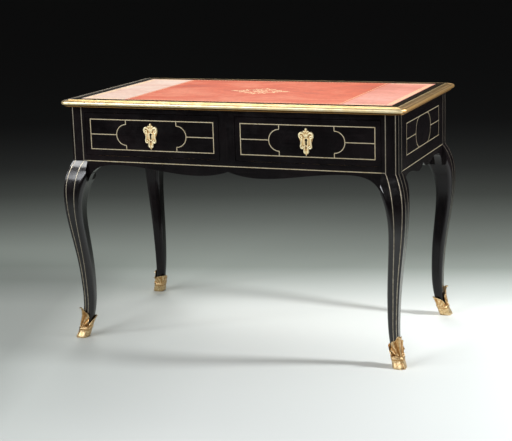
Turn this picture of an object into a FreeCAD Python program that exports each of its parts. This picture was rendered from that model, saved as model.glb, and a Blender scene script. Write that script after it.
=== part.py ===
import FreeCAD, Part
import os
from FreeCAD import Vector

# A writing table (bureau plat) in ebonised wood, inlaid with brass string, on four cabriole legs
# with gilt bronze shoes. Two drawers open at the front, and the top is lined with leather.
# The origin is on the floor under the middle of the table. +Z is up, +X is to the right of someone
# who sits at the drawers, and -Y points at that person. All sizes are millimetres.

doc = FreeCAD.newDocument("writing_table")
sheet = doc.addObject("Spreadsheet::Sheet", "Sizes")

DRIVING_SIZES = {
    # The top: its board, the gilt moulding round it, the black border and the leather.
    "top_length": 1080,
    "top_depth": 600,
    "desk_height": 750,
    "top_thickness": 20,
    "top_overhang": 27,
    "moulding_depth": 28,
    "moulding_foot_depth": 18,
    "moulding_fillet": 2,
    "moulding_lip_width": 6.5,
    "moulding_lip_height": 1.4,
    "swell_foot_depth": 23,
    "swell_root_depth": 19,
    "swell_low_share": 0.26,
    "swell_middle_share": 0.55,
    "swell_high_share": 0.85,
    "border_width": 24,
    "leather_thickness": 1.5,
    "leather_set": 0.3,
    "end_skin_width": 148,
    # The frieze: posts, rails and the drawer opening.
    "post_side": 48,
    "rail_thickness": 22,
    "top_rail_height": 18,
    "drawer_opening": 131,
    "sill_height": 19,
    "divider_width": 49,
    "tenon_thickness": 8,
    "tenon_length": 22,
    "tenon_shoulder": 4,
    # The shaped lower edge of the rails, measured down from the shoulder of the legs.
    "lobe_drop": 30,
    "cusp_drop": 14,
    "front_arch_drop": 8,
    "side_arch_drop": 18,
    "front_lobe_reach": 110,
    "side_lobe_reach": 46,
    "front_arch_share": 0.70,
    "side_arch_share": 0.40,
    "ear_reach": 28,
    "ear_bend_drop": 24,
    "ear_drop": 62,
    # The leg: how far its outer face stands out from the frieze, and how thick it is.
    "brow_drop": 30,
    "brow_swell": 14,
    "thigh_drop": 60,
    "thigh_swell": 22,
    "knee_drop": 122,
    "knee_swell": 26,
    "knee_side": 56,
    "calf_share": 0.73,
    "calf_swell": 16.5,
    "calf_side": 45.5,
    "shin_share": 0.46,
    "shin_swell": 3.5,
    "shin_side": 39.5,
    "fetlock_share": 0.276,
    "fetlock_swell": -2,
    "fetlock_side": 36,
    "ankle_level": 74,
    "ankle_swell": -2,
    "ankle_side": 30,
    "foot_level": 24,
    "foot_swell": 6,
    "foot_side": 25,
    "ear_rounding": 14,
    "foot_rounding": 11,
    # The gilt bronze shoe round the foot.
    "shoe_wall": 3,
    "shoe_tip_level": 94,
    "shoe_collar_level": 62,
    "shoe_cuff_level": 40,
    "hoof_level": 34,
    "toe_reach": 24,
    "toe_slope": 10,
    "heel_reach": -16,
    # Brass string.
    "string_width": 2.5,
    "string_depth": 1.5,
    "low_string_rise": 2,
    "post_string_inset": 35,
    "knee_string_inset": 32,
    "calf_string_inset": 25,
    "shin_string_inset": 18.5,
    "fetlock_string_inset": 15,
    "ankle_string_inset": 13.5,
    "foot_string_inset": 9.5,
    "post_edge_inset": 6,
    "knee_edge_inset": 7,
    "calf_edge_inset": 6.5,
    "shin_edge_inset": 5.5,
    "fetlock_edge_inset": 4.5,
    "ankle_edge_inset": 4,
    "foot_edge_inset": 3,
    "panel_string_inset": 15.5,
    "panel_string_rise": 17.5,
    "side_panel_inset": 40,
    "tick_reach": 83,
    "tick_length": 15,
    "roundel_reach": 38.5,
    # The drawers and what carries them.
    "drawer_gap": 1.5,
    "running_gap": 0.3,
    "drawer_front_thickness": 20,
    "drawer_side_thickness": 10,
    "drawer_side_drop": 3,
    "drawer_back_thickness": 10,
    "drawer_back_drop": 8,
    "drawer_back_room": 54,
    "drawer_bottom_thickness": 7,
    "drawer_bottom_rise": 10,
    "groove_depth": 5,
    "tail_root": 15,
    "tail_tip": 20,
    "tail_length": 14,
    "runner_width": 24,
    "runner_height": 20,
    "guide_height": 40,
    "kicker_width": 40,
    # Locks, escutcheons and screws.
    "lock_width": 60,
    "lock_height": 82,
    "lock_depth": 10,
    "bolt_width": 26,
    "bolt_height": 24,
    "bolt_thickness": 6,
    "bolt_throw": 8,
    "bolt_clearance": 1,
    "keyhole_diameter": 6,
    "keyhole_slot_width": 3,
    "keyhole_slot_drop": 9,
    "escutcheon_width": 50,
    "escutcheon_height": 84,
    "escutcheon_thickness": 4,
    "pin_reach": 34,
    "pin_diameter": 1.4,
    "pin_head_diameter": 3,
    "pin_head_height": 0.8,
    "pin_length": 12,
    "screw_diameter": 4,
    "screw_head_diameter": 8,
    "screw_head_height": 3,
    "screw_length": 30,
    "screw_spread": 120,
}


class Size:
    """A size that keeps its value together with the formula that ties it to the sheet."""

    def __init__(self, formula, value):
        self.formula = formula
        self.value = float(value)

    def __float__(self):
        return self.value

    def __add__(self, other):
        return Size(f"({self.formula} + {formula_of(other)})", self.value + float(other))

    def __radd__(self, other):
        return self + other

    def __sub__(self, other):
        return Size(f"({self.formula} - {formula_of(other)})", self.value - float(other))

    def __rsub__(self, other):
        return Size(f"({formula_of(other)} - {self.formula})", float(other) - self.value)

    def __mul__(self, other):
        return Size(f"({self.formula} * {formula_of(other)})", self.value * float(other))

    def __rmul__(self, other):
        return self * other

    def __truediv__(self, other):
        return Size(f"({self.formula} / {formula_of(other)})", self.value / float(other))

    def __neg__(self):
        return Size(f"(0 - {self.formula})", -self.value)


def formula_of(size):
    """The text that an expression needs for a size or a plain number."""
    return size.formula if isinstance(size, Size) else repr(float(size))


class Named:
    """The driving sizes, each under its own name."""


size = Named()
for row, (alias, value) in enumerate(DRIVING_SIZES.items(), start=1):
    sheet.set(f"A{row}", alias)
    sheet.set(f"B{row}", str(value))
    sheet.setAlias(f"B{row}", alias)
doc.recompute()
for alias in DRIVING_SIZES:
    setattr(size, alias, Size(f"Sizes.{alias}", getattr(sheet, alias)))

nodes = []


def node(label, piece):
    """Name a finished piece and keep it for the hand-over."""
    piece.Label = label
    nodes.append(piece)
    return piece


def block(name, x, y, z):
    """A rectangular piece between a low and a high place along each axis."""
    piece = doc.addObject("Part::Box", name)
    for length, axis, (low, high) in zip(("Length", "Width", "Height"), "xyz", (x, y, z)):
        piece.setExpression(length, formula_of(high - low))
        piece.setExpression(f"Placement.Base.{axis}", formula_of(low))
    return piece


def rod(name, diameter, length, x, y, z, axis):
    """A round piece that starts at a place and runs along an axis."""
    piece = doc.addObject("Part::Cylinder", name)
    piece.Placement = FreeCAD.Placement(Vector(), FreeCAD.Rotation(Vector(0, 0, 1), axis))
    piece.setExpression("Radius", formula_of(diameter / 2))
    piece.setExpression("Height", formula_of(length))
    for letter, place in zip("xyz", (x, y, z)):
        piece.setExpression(f"Placement.Base.{letter}", formula_of(place))
    return piece


def gather(kind, name, pieces):
    """Several pieces as one: a Part::MultiFuse joins them, a Part::Compound only groups them."""
    group = doc.addObject(kind, name)
    setattr(group, "Links" if kind == "Part::Compound" else "Shapes", pieces)
    return group


def cut(name, base, *tools):
    """A piece with other pieces let into it."""
    piece = doc.addObject("Part::Cut", name)
    piece.Base = base
    piece.Tool = tools[0] if len(tools) == 1 else gather("Part::MultiFuse", name + "_lets", list(tools))
    return piece


def common(name, first, second):
    """What two pieces share."""
    piece = doc.addObject("Part::Common", name)
    piece.Base = first
    piece.Tool = second
    return piece


def prism(name, edges, direction, length):
    """A solid pushed along an axis from the flat outline that some edges close."""
    outline = doc.addObject("Part::Feature", name + "_outline")
    outline.Shape = Part.Face(Part.Wire(Part.__sortEdges__(edges)))
    solid = doc.addObject("Part::Extrusion", name)
    solid.Base = outline
    solid.DirMode = "Custom"
    solid.Dir = direction
    solid.Solid = True
    solid.setExpression("LengthFwd", formula_of(length))
    return solid


def line(place, start, end):
    """A straight edge between two points of a drawing plane."""
    return Part.LineSegment(place(*start), place(*end)).toShape()


def chain(place, points):
    """Straight edges through some points of a drawing plane."""
    return [line(place, start, end) for start, end in zip(points, points[1:])]


def curve(place, points):
    """A smooth edge through some points of a drawing plane."""
    spline = Part.BSplineCurve()
    spline.interpolate(Points=[place(*point) for point in points])
    return spline.toShape()


def span(side, near, far):
    """Low and high end of a stretch between two distances from the middle, on one side of it."""
    return (near, far) if side > 0 else (-far, -near)


ALONG_X = Vector(1, 0, 0)
ALONG_Y = Vector(0, 1, 0)
ALONG_Z = Vector(0, 0, 1)
SIDES = {"left": -1, "right": 1}
ENDS = {"front": -1, "back": 1}

# Places that many pieces share.
half_length = size.top_length / 2 - size.top_overhang
half_depth = size.top_depth / 2 - size.top_overhang
carcase_top = size.desk_height - size.top_thickness
post_inner_x = half_length - size.post_side
post_inner_y = half_depth - size.post_side
rail_inner_x = half_length - size.rail_thickness
rail_inner_y = half_depth - size.rail_thickness
opening_top = carcase_top - size.top_rail_height
sill_level = opening_top - size.drawer_opening
shoulder_level = sill_level - size.sill_height
ear_level = shoulder_level - size.ear_drop
low_string_level = shoulder_level + size.low_string_rise
drawer_inner_x = size.divider_width / 2 + size.drawer_gap
drawer_outer_x = post_inner_x - size.drawer_gap
drawer_middle_x = (drawer_inner_x + drawer_outer_x) / 2
drawer_low = sill_level + size.drawer_gap
drawer_high = opening_top - size.drawer_gap
drawer_middle_z = (drawer_low + drawer_high) / 2

# The legs. Each is sawn to one outline from the front and to the same outline from the side. An
# outline point is a distance out from the frieze, and a level above the floor.
knee_level = shoulder_level - size.knee_drop
LEG_STATIONS = 7
shank = knee_level - size.ankle_level
calf_level = size.ankle_level + shank * size.calf_share
shin_level = size.ankle_level + shank * size.shin_share
fetlock_level = size.ankle_level + shank * size.fetlock_share


def outer_line(place, insets):
    """The leg's outer line, moved in by one inset for each of its stations."""
    post, knee, calf, shin, fetlock, ankle, foot = insets
    top = (-post, carcase_top)
    bends = [
        (-post, shoulder_level),
        (size.brow_swell - post, shoulder_level - size.brow_drop),
        (size.thigh_swell - post, shoulder_level - size.thigh_drop),
        (size.knee_swell - knee, knee_level),
        (size.calf_swell - calf, calf_level),
        (size.shin_swell - shin, shin_level),
        (size.fetlock_swell - fetlock, fetlock_level),
        (size.ankle_swell - ankle, size.ankle_level),
        (size.foot_swell - foot, size.foot_level),
    ]
    return [line(place, top, bends[0]), curve(place, bends)], top, bends[-1]


def inner_line(place):
    """The leg's inner line: straight beside the rails, then a sweep under their ears to the heel."""
    top = (-size.post_side, carcase_top)
    bends = [
        (-size.post_side, ear_level),
        (size.knee_swell - size.knee_side, knee_level),
        (size.calf_swell - size.calf_side, calf_level),
        (size.shin_swell - size.shin_side, shin_level),
        (size.fetlock_swell - size.fetlock_side, fetlock_level),
        (size.ankle_swell - size.ankle_side, size.ankle_level),
        (size.foot_swell - size.foot_side, size.foot_level),
    ]
    return [line(place, top, bends[0]), curve(place, bends)], top, bends[-1]


def leg_outline(place):
    """The outline that a leg is sawn to."""
    outside, outer_top, toe = outer_line(place, [0] * LEG_STATIONS)
    inside, inner_top, heel = inner_line(place)
    return outside + inside + [line(place, outer_top, inner_top), line(place, toe, heel)]


def strip_outline(place, near, far):
    """A strip that follows the outer line between two sets of insets."""
    outside, outer_top, outer_end = outer_line(place, near)
    inside, inner_top, inner_end = outer_line(place, far)
    return outside + inside + [line(place, outer_top, inner_top), line(place, outer_end, inner_end)]


def line_at(start, end, level):
    """Where a straight line between two outline points passes a level."""
    return start[0] + (end[0] - start[0]) * (level - start[1]) / (end[1] - start[1])


def shoe_outline(place):
    """The outline of a bronze shoe: a leaf cuff, highest at the arris, over a hoof that kicks outwards."""
    outer_ankle = (size.ankle_swell, size.ankle_level)
    inner_ankle = (size.ankle_swell - size.ankle_side, size.ankle_level)
    toe = (size.foot_swell, size.foot_level)
    heel = (size.foot_swell - size.foot_side, size.foot_level)
    cuff = size.shoe_cuff_level
    points = [
        (size.ankle_swell + size.shoe_wall, size.shoe_tip_level),
        (size.ankle_swell + size.shoe_wall, size.ankle_level),
        (line_at(outer_ankle, toe, cuff) + size.shoe_wall, cuff),
        (size.toe_reach - size.toe_slope, size.hoof_level),
        (size.toe_reach, 0),
        (size.heel_reach, 0),
        (heel[0] - size.shoe_wall, size.foot_level),
        (line_at(inner_ankle, heel, cuff) - size.shoe_wall, cuff),
        (line_at(inner_ankle, heel, size.shoe_collar_level) - size.shoe_wall, size.shoe_collar_level),
    ]
    return chain(place, points + points[:1])


def rounded_leg(name, blank):
    """A leg with its three inner edges rounded, from the ears of the rails down to the foot."""
    doc.recompute()
    curved = [
        (index, edge)
        for index, edge in enumerate(blank.Shape.Edges, start=1)
        if isinstance(edge.Curve, Part.BSplineCurve) and edge.BoundBox.ZMin < float(knee_level)
    ]
    arris = max(curved, key=lambda entry: entry[1].Length)
    roundings = []
    for index, edge in curved:
        if index != arris[0]:
            starts_low = edge.valueAt(edge.FirstParameter).z < edge.valueAt(edge.LastParameter).z
            ends = [float(size.ear_rounding), float(size.foot_rounding)]
            roundings.append((index, *(reversed(ends) if starts_low else ends)))
    leg = doc.addObject("Part::Fillet", name)
    leg.Base = blank
    leg.Edges = roundings
    return leg


string_insets = [
    size.post_string_inset,
    size.knee_string_inset,
    size.calf_string_inset,
    size.shin_string_inset,
    size.fetlock_string_inset,
    size.ankle_string_inset,
    size.foot_string_inset,
]
edge_insets = [
    size.post_edge_inset,
    size.knee_edge_inset,
    size.calf_edge_inset,
    size.shin_edge_inset,
    size.fetlock_edge_inset,
    size.ankle_edge_inset,
    size.foot_edge_inset,
]


def string_outline(place, insets):
    """The outline of one string, its width measured in from a set of insets."""
    return strip_outline(place, insets, [inset + size.string_width for inset in insets])


OUTLINES = {
    "leg": leg_outline,
    "skin": lambda place: strip_outline(place, [0] * LEG_STATIONS, [size.string_depth] * LEG_STATIONS),
    "ribbon": lambda place: string_outline(place, string_insets),
    "edge": lambda place: string_outline(place, edge_insets),
    "shoe": shoe_outline,
}


def corner_prisms(kind):
    """One outline pushed right through the table from each of its four sides."""
    reach_x = half_length + size.toe_reach + size.knee_swell
    reach_y = half_depth + size.toe_reach + size.knee_swell
    prisms = {}
    for name, side in SIDES.items():
        def from_front(out, level, side=side):
            return Vector(side * float(half_length + out), -float(reach_y), float(level))
        prisms[name] = prism(f"{kind}_{name}", OUTLINES[kind](from_front), ALONG_Y, reach_y * 2)
    for name, end in ENDS.items():
        def from_side(out, level, end=end):
            return Vector(-float(reach_x), end * float(half_depth + out), float(level))
        prisms[name] = prism(f"{kind}_{name}", OUTLINES[kind](from_side), ALONG_X, reach_x * 2)
    return prisms


prisms = {kind: corner_prisms(kind) for kind in OUTLINES}

# Tenons: the ends of the rails that are let into the posts.
tenon_low = ear_level + size.tenon_shoulder
tenon_near = (size.rail_thickness - size.tenon_thickness) / 2
tenon_far = tenon_near + size.tenon_thickness
tenons = {}
for side_name, side in SIDES.items():
    for end_name, end in ENDS.items():
        corner = f"{end_name}_{side_name}"
        into_x = span(side, post_inner_x, post_inner_x + size.tenon_length)
        into_y = span(end, post_inner_y, post_inner_y + size.tenon_length)
        across_y = span(end, half_depth - tenon_far, half_depth - tenon_near)
        across_x = span(side, half_length - tenon_far, half_length - tenon_near)
        tall = (tenon_low, carcase_top - size.tenon_shoulder)
        tenons["side", corner] = block(f"side_tenon_{corner}", across_x, into_y, tall)
        if end_name == "back":
            tenons["back", corner] = block(f"back_tenon_{corner}", into_x, across_y, tall)
        else:
            low = (tenon_low, sill_level - size.tenon_shoulder)
            high = (opening_top + size.tenon_shoulder, carcase_top - size.tenon_shoulder)
            tenons["bottom", corner] = block(f"bottom_tenon_{corner}", into_x, across_y, low)
            tenons["top", corner] = block(f"top_tenon_{corner}", into_x, across_y, high)

# Legs, their brass string and their shoes, one of each at every corner. A leg has two strings down
# each outer face, one beside the arris and one towards the rails.
low_string = (low_string_level - size.string_width / 2, low_string_level + size.string_width / 2)
leg_strings = []
for side_name, side in SIDES.items():
    for end_name, end in ENDS.items():
        corner = f"{end_name}_{side_name}"

        def shared(kind_x, kind_y, name):
            return common(f"{name}_{corner}", prisms[kind_x][side_name], prisms[kind_y][end_name])

        blank = rounded_leg(f"leg_rounded_{corner}", shared("leg", "leg", "leg_blank"))
        link = block(
            f"string_link_{corner}",
            span(side, post_inner_x, half_length - size.post_string_inset),
            span(end, half_depth - size.string_depth, half_depth),
            low_string,
        )
        side_link = block(
            f"side_string_link_{corner}",
            span(side, half_length - size.string_depth, half_length),
            span(end, post_inner_y, half_depth - size.post_string_inset),
            low_string,
        )
        face_string = gather(
            "Part::MultiFuse", f"face_string_{corner}", [shared("ribbon", "skin", "face_ribbon"), link]
        )
        side_string = gather(
            "Part::MultiFuse", f"side_string_{corner}", [shared("skin", "ribbon", "side_ribbon"), side_link]
        )
        face_edge = shared("edge", "skin", "face_edge")
        side_edge = shared("skin", "edge", "side_edge")
        corner_strings = [face_string, side_string, face_edge, side_edge]
        leg_strings += corner_strings
        mortises = [tenon for (_, place), tenon in tenons.items() if place == corner]
        leg = cut(f"leg_{corner}_solid", blank, *corner_strings, *mortises)
        shoe = cut(f"shoe_{corner}_solid", shared("shoe", "shoe", "shoe_blank"), blank)
        node(f"leg_{corner}", leg)
        node(f"sabot_{corner}", shoe)
node("leg_stringing", gather("Part::Compound", "leg_strings", leg_strings))


# Rails with a shaped lower edge: ears against the legs, an arch, and two lobes about a middle cusp.
def apron_edges(place, half_run, lobe_reach, arch_share, arch_drop):
    """The lower edge of a rail from leg to leg."""
    arch_reach = lobe_reach + (half_run - lobe_reach) * arch_share
    edges = []
    for way in SIDES.values():
        points = [
            (0, shoulder_level - size.cusp_drop),
            (way * lobe_reach, shoulder_level - size.lobe_drop),
            (way * arch_reach, shoulder_level - arch_drop),
            (way * (half_run - size.ear_reach), shoulder_level - size.ear_bend_drop),
            (way * half_run, ear_level),
        ]
        edges.append(curve(place, points))
    return edges


def rail_edges(place, half_run, top, lobe_reach, arch_share, arch_drop):
    """The whole outline of a rail with a shaped lower edge."""
    left = (-half_run, ear_level)
    right = (half_run, ear_level)
    frame = chain(place, [left, (-half_run, top), (half_run, top), right])
    return frame + apron_edges(place, half_run, lobe_reach, arch_share, arch_drop)


def in_xz(y):
    """A drawing plane seen from the front."""
    return lambda x, z: Vector(float(x), float(y), float(z))


def in_yz(x):
    """A drawing plane seen from the side."""
    return lambda y, z: Vector(float(x), float(y), float(z))


FRONT_APRON = (size.front_lobe_reach, size.front_arch_share, size.front_arch_drop)
SIDE_APRON = (size.side_lobe_reach, size.side_arch_share, size.side_arch_drop)


# Brass string on flat faces. Every pattern is a set of straight strips and bent strips.
def half_ring(name, place, middle, radius, way, depth_way):
    """A strip of string bent to a half circle that bulges one way along the face."""
    thick = float(size.string_width) / 2
    edges = []
    for bend in (float(radius) - thick, float(radius) + thick):
        across = [(0, -bend), (way * bend, 0), (0, bend)]
        points = [place(float(middle[0]) + out, float(middle[1]) + up) for out, up in across]
        edges.append(Part.Arc(*points).toShape())
    ends = [[edge.Vertexes[index].Point for edge in edges] for index in (0, 1)]
    edges += [Part.LineSegment(*pair).toShape() for pair in ends]
    return prism(name, edges, depth_way, size.string_depth)


def panel_frame(name, strip, low, high, bottom, top):
    """The four straight strips round a panel."""
    wide = size.string_width
    return [
        strip(f"{name}_low", (low, high), (bottom, bottom + wide)),
        strip(f"{name}_high", (low, high), (top - wide, top)),
        strip(f"{name}_near", (low, low + wide), (bottom, top)),
        strip(f"{name}_far", (high - wide, high), (bottom, top)),
    ]


panel_bottom = drawer_low + size.panel_string_rise
panel_top = drawer_high - size.panel_string_rise
tick_bend = (panel_top - panel_bottom) / 2 - size.tick_length
middle_strip = (drawer_middle_z - size.string_width / 2, drawer_middle_z + size.string_width / 2)


def drawer_pattern(name, strip, place, depth_way, middle, low, high):
    """A panel with two ticked half circles that face outwards, and a mid line out to each end."""
    pieces = panel_frame(name, strip, low, high, panel_bottom, panel_top)
    half_wide = size.string_width / 2
    for way, ending in ((-1, low), (1, high)):
        tick = middle + size.tick_reach * way
        apex = tick + (tick_bend - half_wide) * way
        tick_run = (tick - half_wide, tick + half_wide)
        run = (ending, apex) if way < 0 else (apex, ending)
        label = f"{name}_{'near' if way < 0 else 'far'}"
        pieces += [
            strip(f"{label}_low_tick", tick_run, (panel_bottom, panel_bottom + size.tick_length)),
            strip(f"{label}_high_tick", tick_run, (panel_top - size.tick_length, panel_top)),
            strip(f"{label}_mid", run, middle_strip),
            half_ring(f"{label}_bend", place, (tick, drawer_middle_z), tick_bend, way, depth_way),
        ]
    return gather("Part::MultiFuse", name, pieces)


def end_pattern(name, strip, place, depth_way, low, high):
    """A panel with two half circles that face outwards, and a mid line out to each end."""
    pieces = panel_frame(name, strip, low, high, panel_bottom, panel_top)
    half_wide = size.string_width / 2
    bend = (panel_top - panel_bottom) / 2 - half_wide
    for way, ending in ((-1, low), (1, high)):
        middle = size.roundel_reach * way
        apex = middle + (bend - half_wide) * way
        run = (ending, apex) if way < 0 else (apex, ending)
        label = f"{name}_{'near' if way < 0 else 'far'}"
        pieces += [
            strip(f"{label}_mid", run, middle_strip),
            half_ring(f"{label}_bend", place, (middle, drawer_middle_z), bend, way, depth_way),
        ]
    return gather("Part::MultiFuse", name, pieces)


def front_strip(name, x, z):
    """A straight strip let into the front of the table."""
    return block(name, x, (-half_depth, size.string_depth - half_depth), z)


def back_strip(name, x, z):
    """A straight strip let into the back of the table."""
    return block(name, x, (half_depth - size.string_depth, half_depth), z)


# Side rails: one tall board between the posts, with a roundel panel and a low string.
for side_name, side in SIDES.items():
    face = half_length * side

    def side_strip(name, y, z):
        return block(name, span(side, half_length - size.string_depth, half_length), y, z)

    board = prism(
        f"side_board_{side_name}",
        rail_edges(in_yz(face), post_inner_y, carcase_top, *SIDE_APRON),
        ALONG_X * -side,
        size.rail_thickness,
    )
    ends = [tenons["side", f"{end_name}_{side_name}"] for end_name in ENDS]
    jointed = gather("Part::MultiFuse", f"side_rail_{side_name}_jointed", [board] + ends)
    panel_end = half_depth - size.post_side - size.side_panel_inset
    pattern = end_pattern(
        f"side_pattern_{side_name}", side_strip, in_yz(face), ALONG_X * -side, -panel_end, panel_end
    )
    low_line = side_strip(f"side_low_string_{side_name}", (-post_inner_y, post_inner_y), low_string)
    strings = gather("Part::Compound", f"side_strings_{side_name}", [pattern, low_line])
    node(f"side_rail_{side_name}", cut(f"side_rail_{side_name}_solid", jointed, pattern, low_line))
    node(f"side_stringing_{side_name}", strings)

# Back rail: the same board across the back, with two sham drawer panels.
back_board = prism(
    "back_board",
    rail_edges(in_xz(half_depth), post_inner_x, carcase_top, *FRONT_APRON),
    -ALONG_Y,
    size.rail_thickness,
)
ends = [tenons["back", f"back_{side_name}"] for side_name in SIDES]
jointed = gather("Part::MultiFuse", "back_rail_jointed", [back_board] + ends)
back_strings = [back_strip("back_low_string", (-post_inner_x, post_inner_x), low_string)]
for side_name, side in SIDES.items():
    low, high = span(
        side, drawer_inner_x + size.panel_string_inset, drawer_outer_x - size.panel_string_inset
    )
    back_strings.append(
        drawer_pattern(
            f"back_pattern_{side_name}",
            back_strip,
            in_xz(half_depth),
            -ALONG_Y,
            drawer_middle_x * side,
            low,
            high,
        )
    )
node("back_rail", cut("back_rail_solid", jointed, *back_strings))
node("back_stringing", gather("Part::Compound", "back_strings", back_strings))

# Front rails and the upright between the drawers.
front_y = (-half_depth, -rail_inner_y)
bottom_board = prism(
    "front_bottom_board",
    rail_edges(in_xz(-half_depth), post_inner_x, sill_level, *FRONT_APRON),
    ALONG_Y,
    size.rail_thickness,
)
ends = [tenons["bottom", f"front_{side_name}"] for side_name in SIDES]
jointed = gather("Part::MultiFuse", "front_bottom_rail_jointed", [bottom_board] + ends)
front_low_string = front_strip("front_low_string", (-post_inner_x, post_inner_x), low_string)
node("front_bottom_rail", cut("front_bottom_rail_solid", jointed, front_low_string))
node("front_stringing", front_low_string)
divider_x = (-size.divider_width / 2, size.divider_width / 2)
node("drawer_divider", block("drawer_divider_solid", divider_x, front_y, (sill_level, opening_top)))


# Screws that hold the top down: two through the front top rail over each drawer, two through each
# kicker.
def screw(name, x, y):
    """A countersunk wood screw driven up into the top."""
    shank = rod(f"{name}_shank", size.screw_diameter, size.screw_length, x, y, opening_top, ALONG_Z)
    head = doc.addObject("Part::Cone", f"{name}_head")
    head.setExpression("Radius1", formula_of(size.screw_head_diameter / 2))
    head.setExpression("Radius2", formula_of(size.screw_diameter / 2))
    head.setExpression("Height", formula_of(size.screw_head_height))
    for letter, place in zip("xyz", (x, y, opening_top)):
        head.setExpression(f"Placement.Base.{letter}", formula_of(place))
    return gather("Part::MultiFuse", name, [shank, head])


rail_screw_y = (size.drawer_front_thickness + size.rail_thickness) / 4 - half_depth
rail_screws = []
kicker_screws = {}
for side_name, side in SIDES.items():
    middle = drawer_middle_x * side
    kicker_screws[side_name] = []
    for way_name, way in SIDES.items():
        shift = size.screw_spread * way
        rail_screws.append(screw(f"rail_screw_{side_name}_{way_name}", middle + shift, rail_screw_y))
        kicker_screws[side_name].append(screw(f"kicker_screw_{side_name}_{way_name}", middle, shift))
all_screws = rail_screws + kicker_screws["left"] + kicker_screws["right"]
node("top_screws", gather("Part::Compound", "top_screw_set", all_screws))

# Kickers: bearers under the top that keep an open drawer from tipping.
for side_name, side in SIDES.items():
    middle = drawer_middle_x * side
    bearer = block(
        f"kicker_{side_name}_bearer",
        (middle - size.kicker_width / 2, middle + size.kicker_width / 2),
        (-rail_inner_y, rail_inner_y),
        (opening_top, carcase_top),
    )
    node(f"kicker_{side_name}", cut(f"kicker_{side_name}_solid", bearer, *kicker_screws[side_name]))

# Runners and guides: a runner under each outer drawer side with a guide beside it, and a middle
# runner whose rib guides both drawers.
run_y = (-rail_inner_y, rail_inner_y)
runner_z = (sill_level - size.runner_height, sill_level)
for side_name, side in SIDES.items():
    runner_x = span(side, post_inner_x - size.runner_width, post_inner_x)
    guide_x = span(side, post_inner_x, rail_inner_x)
    guide_z = (sill_level - size.runner_height, sill_level - size.runner_height + size.guide_height)
    node(f"runner_{side_name}", block(f"runner_{side_name}_solid", runner_x, run_y, runner_z))
    guide_y = (-post_inner_y, post_inner_y)
    node(f"guide_{side_name}", block(f"guide_{side_name}_solid", guide_x, guide_y, guide_z))
middle_reach = size.divider_width / 2 + size.runner_width
rib_reach = size.divider_width / 2
middle_runner = block("runner_middle_bed", (-middle_reach, middle_reach), run_y, runner_z)
middle_rib = block(
    "runner_middle_rib", (-rib_reach, rib_reach), run_y, (sill_level, sill_level + size.guide_height / 2)
)
node("runner_middle", gather("Part::MultiFuse", "runner_middle_solid", [middle_runner, middle_rib]))

# The top: a panel framed by a mitred border, lined with three skins of leather.
frame_x = size.top_length / 2 - size.moulding_depth
frame_y = size.top_depth / 2 - size.moulding_depth
panel_x = frame_x - size.border_width
panel_y = frame_y - size.border_width
leather_top = size.desk_height - size.leather_set
panel_level = leather_top - size.leather_thickness
panel_board = block("top_panel_board", (-panel_x, panel_x), (-panel_y, panel_y), (carcase_top, panel_level))
node("top_panel", cut("top_panel_solid", panel_board, *all_screws))
seam_x = panel_x - size.end_skin_width
skin_runs = {"left": (-panel_x, -seam_x), "middle": (-seam_x, seam_x), "right": (seam_x, panel_x)}
for place, skin_x in skin_runs.items():
    skin = block(f"leather_{place}_solid", skin_x, (-panel_y, panel_y), (panel_level, leather_top))
    node(f"leather_{place}", skin)


def flat(x, y):
    """The drawing plane under the top."""
    return Vector(float(x), float(y), float(carcase_top))


def border(name, corners):
    """One mitred length of the border."""
    return prism(name, chain(flat, corners + corners[:1]), ALONG_Z, size.top_thickness)


for end_name, end in ENDS.items():
    outer = [(-frame_x, frame_y * end), (frame_x, frame_y * end)]
    inner = [(panel_x, panel_y * end), (-panel_x, panel_y * end)]
    length = border(f"border_{end_name}_solid", outer + inner)
    if end_name == "front":
        length = cut("border_front_drilled", length, *rail_screws)
    node(f"border_{end_name}", length)
for side_name, side in SIDES.items():
    outer = [(frame_x * side, -frame_y), (frame_x * side, frame_y)]
    inner = [(panel_x * side, panel_y), (panel_x * side, -panel_y)]
    node(f"border_{side_name}", border(f"border_{side_name}_solid", outer + inner))


# The gilt bronze moulding: four lengths that each turn half way round the corners.
def moulding_section():
    """The section of the moulding: a foot, a small hollow, a fat round, a long hollow and a flat lip."""
    deep = float(size.moulding_depth)
    tall = float(size.top_thickness)
    foot = float(size.moulding_foot_depth)
    fillet = float(size.moulding_fillet)
    lip = float(size.moulding_lip_width)
    lip_low = tall - float(size.moulding_lip_height)
    swell_low = (float(size.swell_foot_depth), tall * float(size.swell_low_share))
    swell_out = (deep, tall * float(size.swell_middle_share))
    swell_high = (float(size.swell_root_depth), tall * float(size.swell_high_share))
    under_deep = foot + (swell_low[0] - foot) / 4
    under_level = fillet + (swell_low[1] - fillet) * 3 / 4
    over_deep = (lip + swell_high[0]) / 2
    over_level = swell_high[1] + (lip_low - swell_high[1]) / 5

    def at(out, up):
        return Vector(0, -out, up)

    under = [(foot, fillet), (under_deep, under_level), swell_low]
    swell = [swell_low, swell_out, swell_high]
    over = [swell_high, (over_deep, over_level), (lip, lip_low)]
    arcs = [Part.Arc(*[at(*point) for point in points]).toShape() for points in (under, swell, over)]
    return arcs + chain(at, [(lip, lip_low), (lip, tall), (0, tall), (0, 0), (foot, 0), (foot, fillet)])


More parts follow.
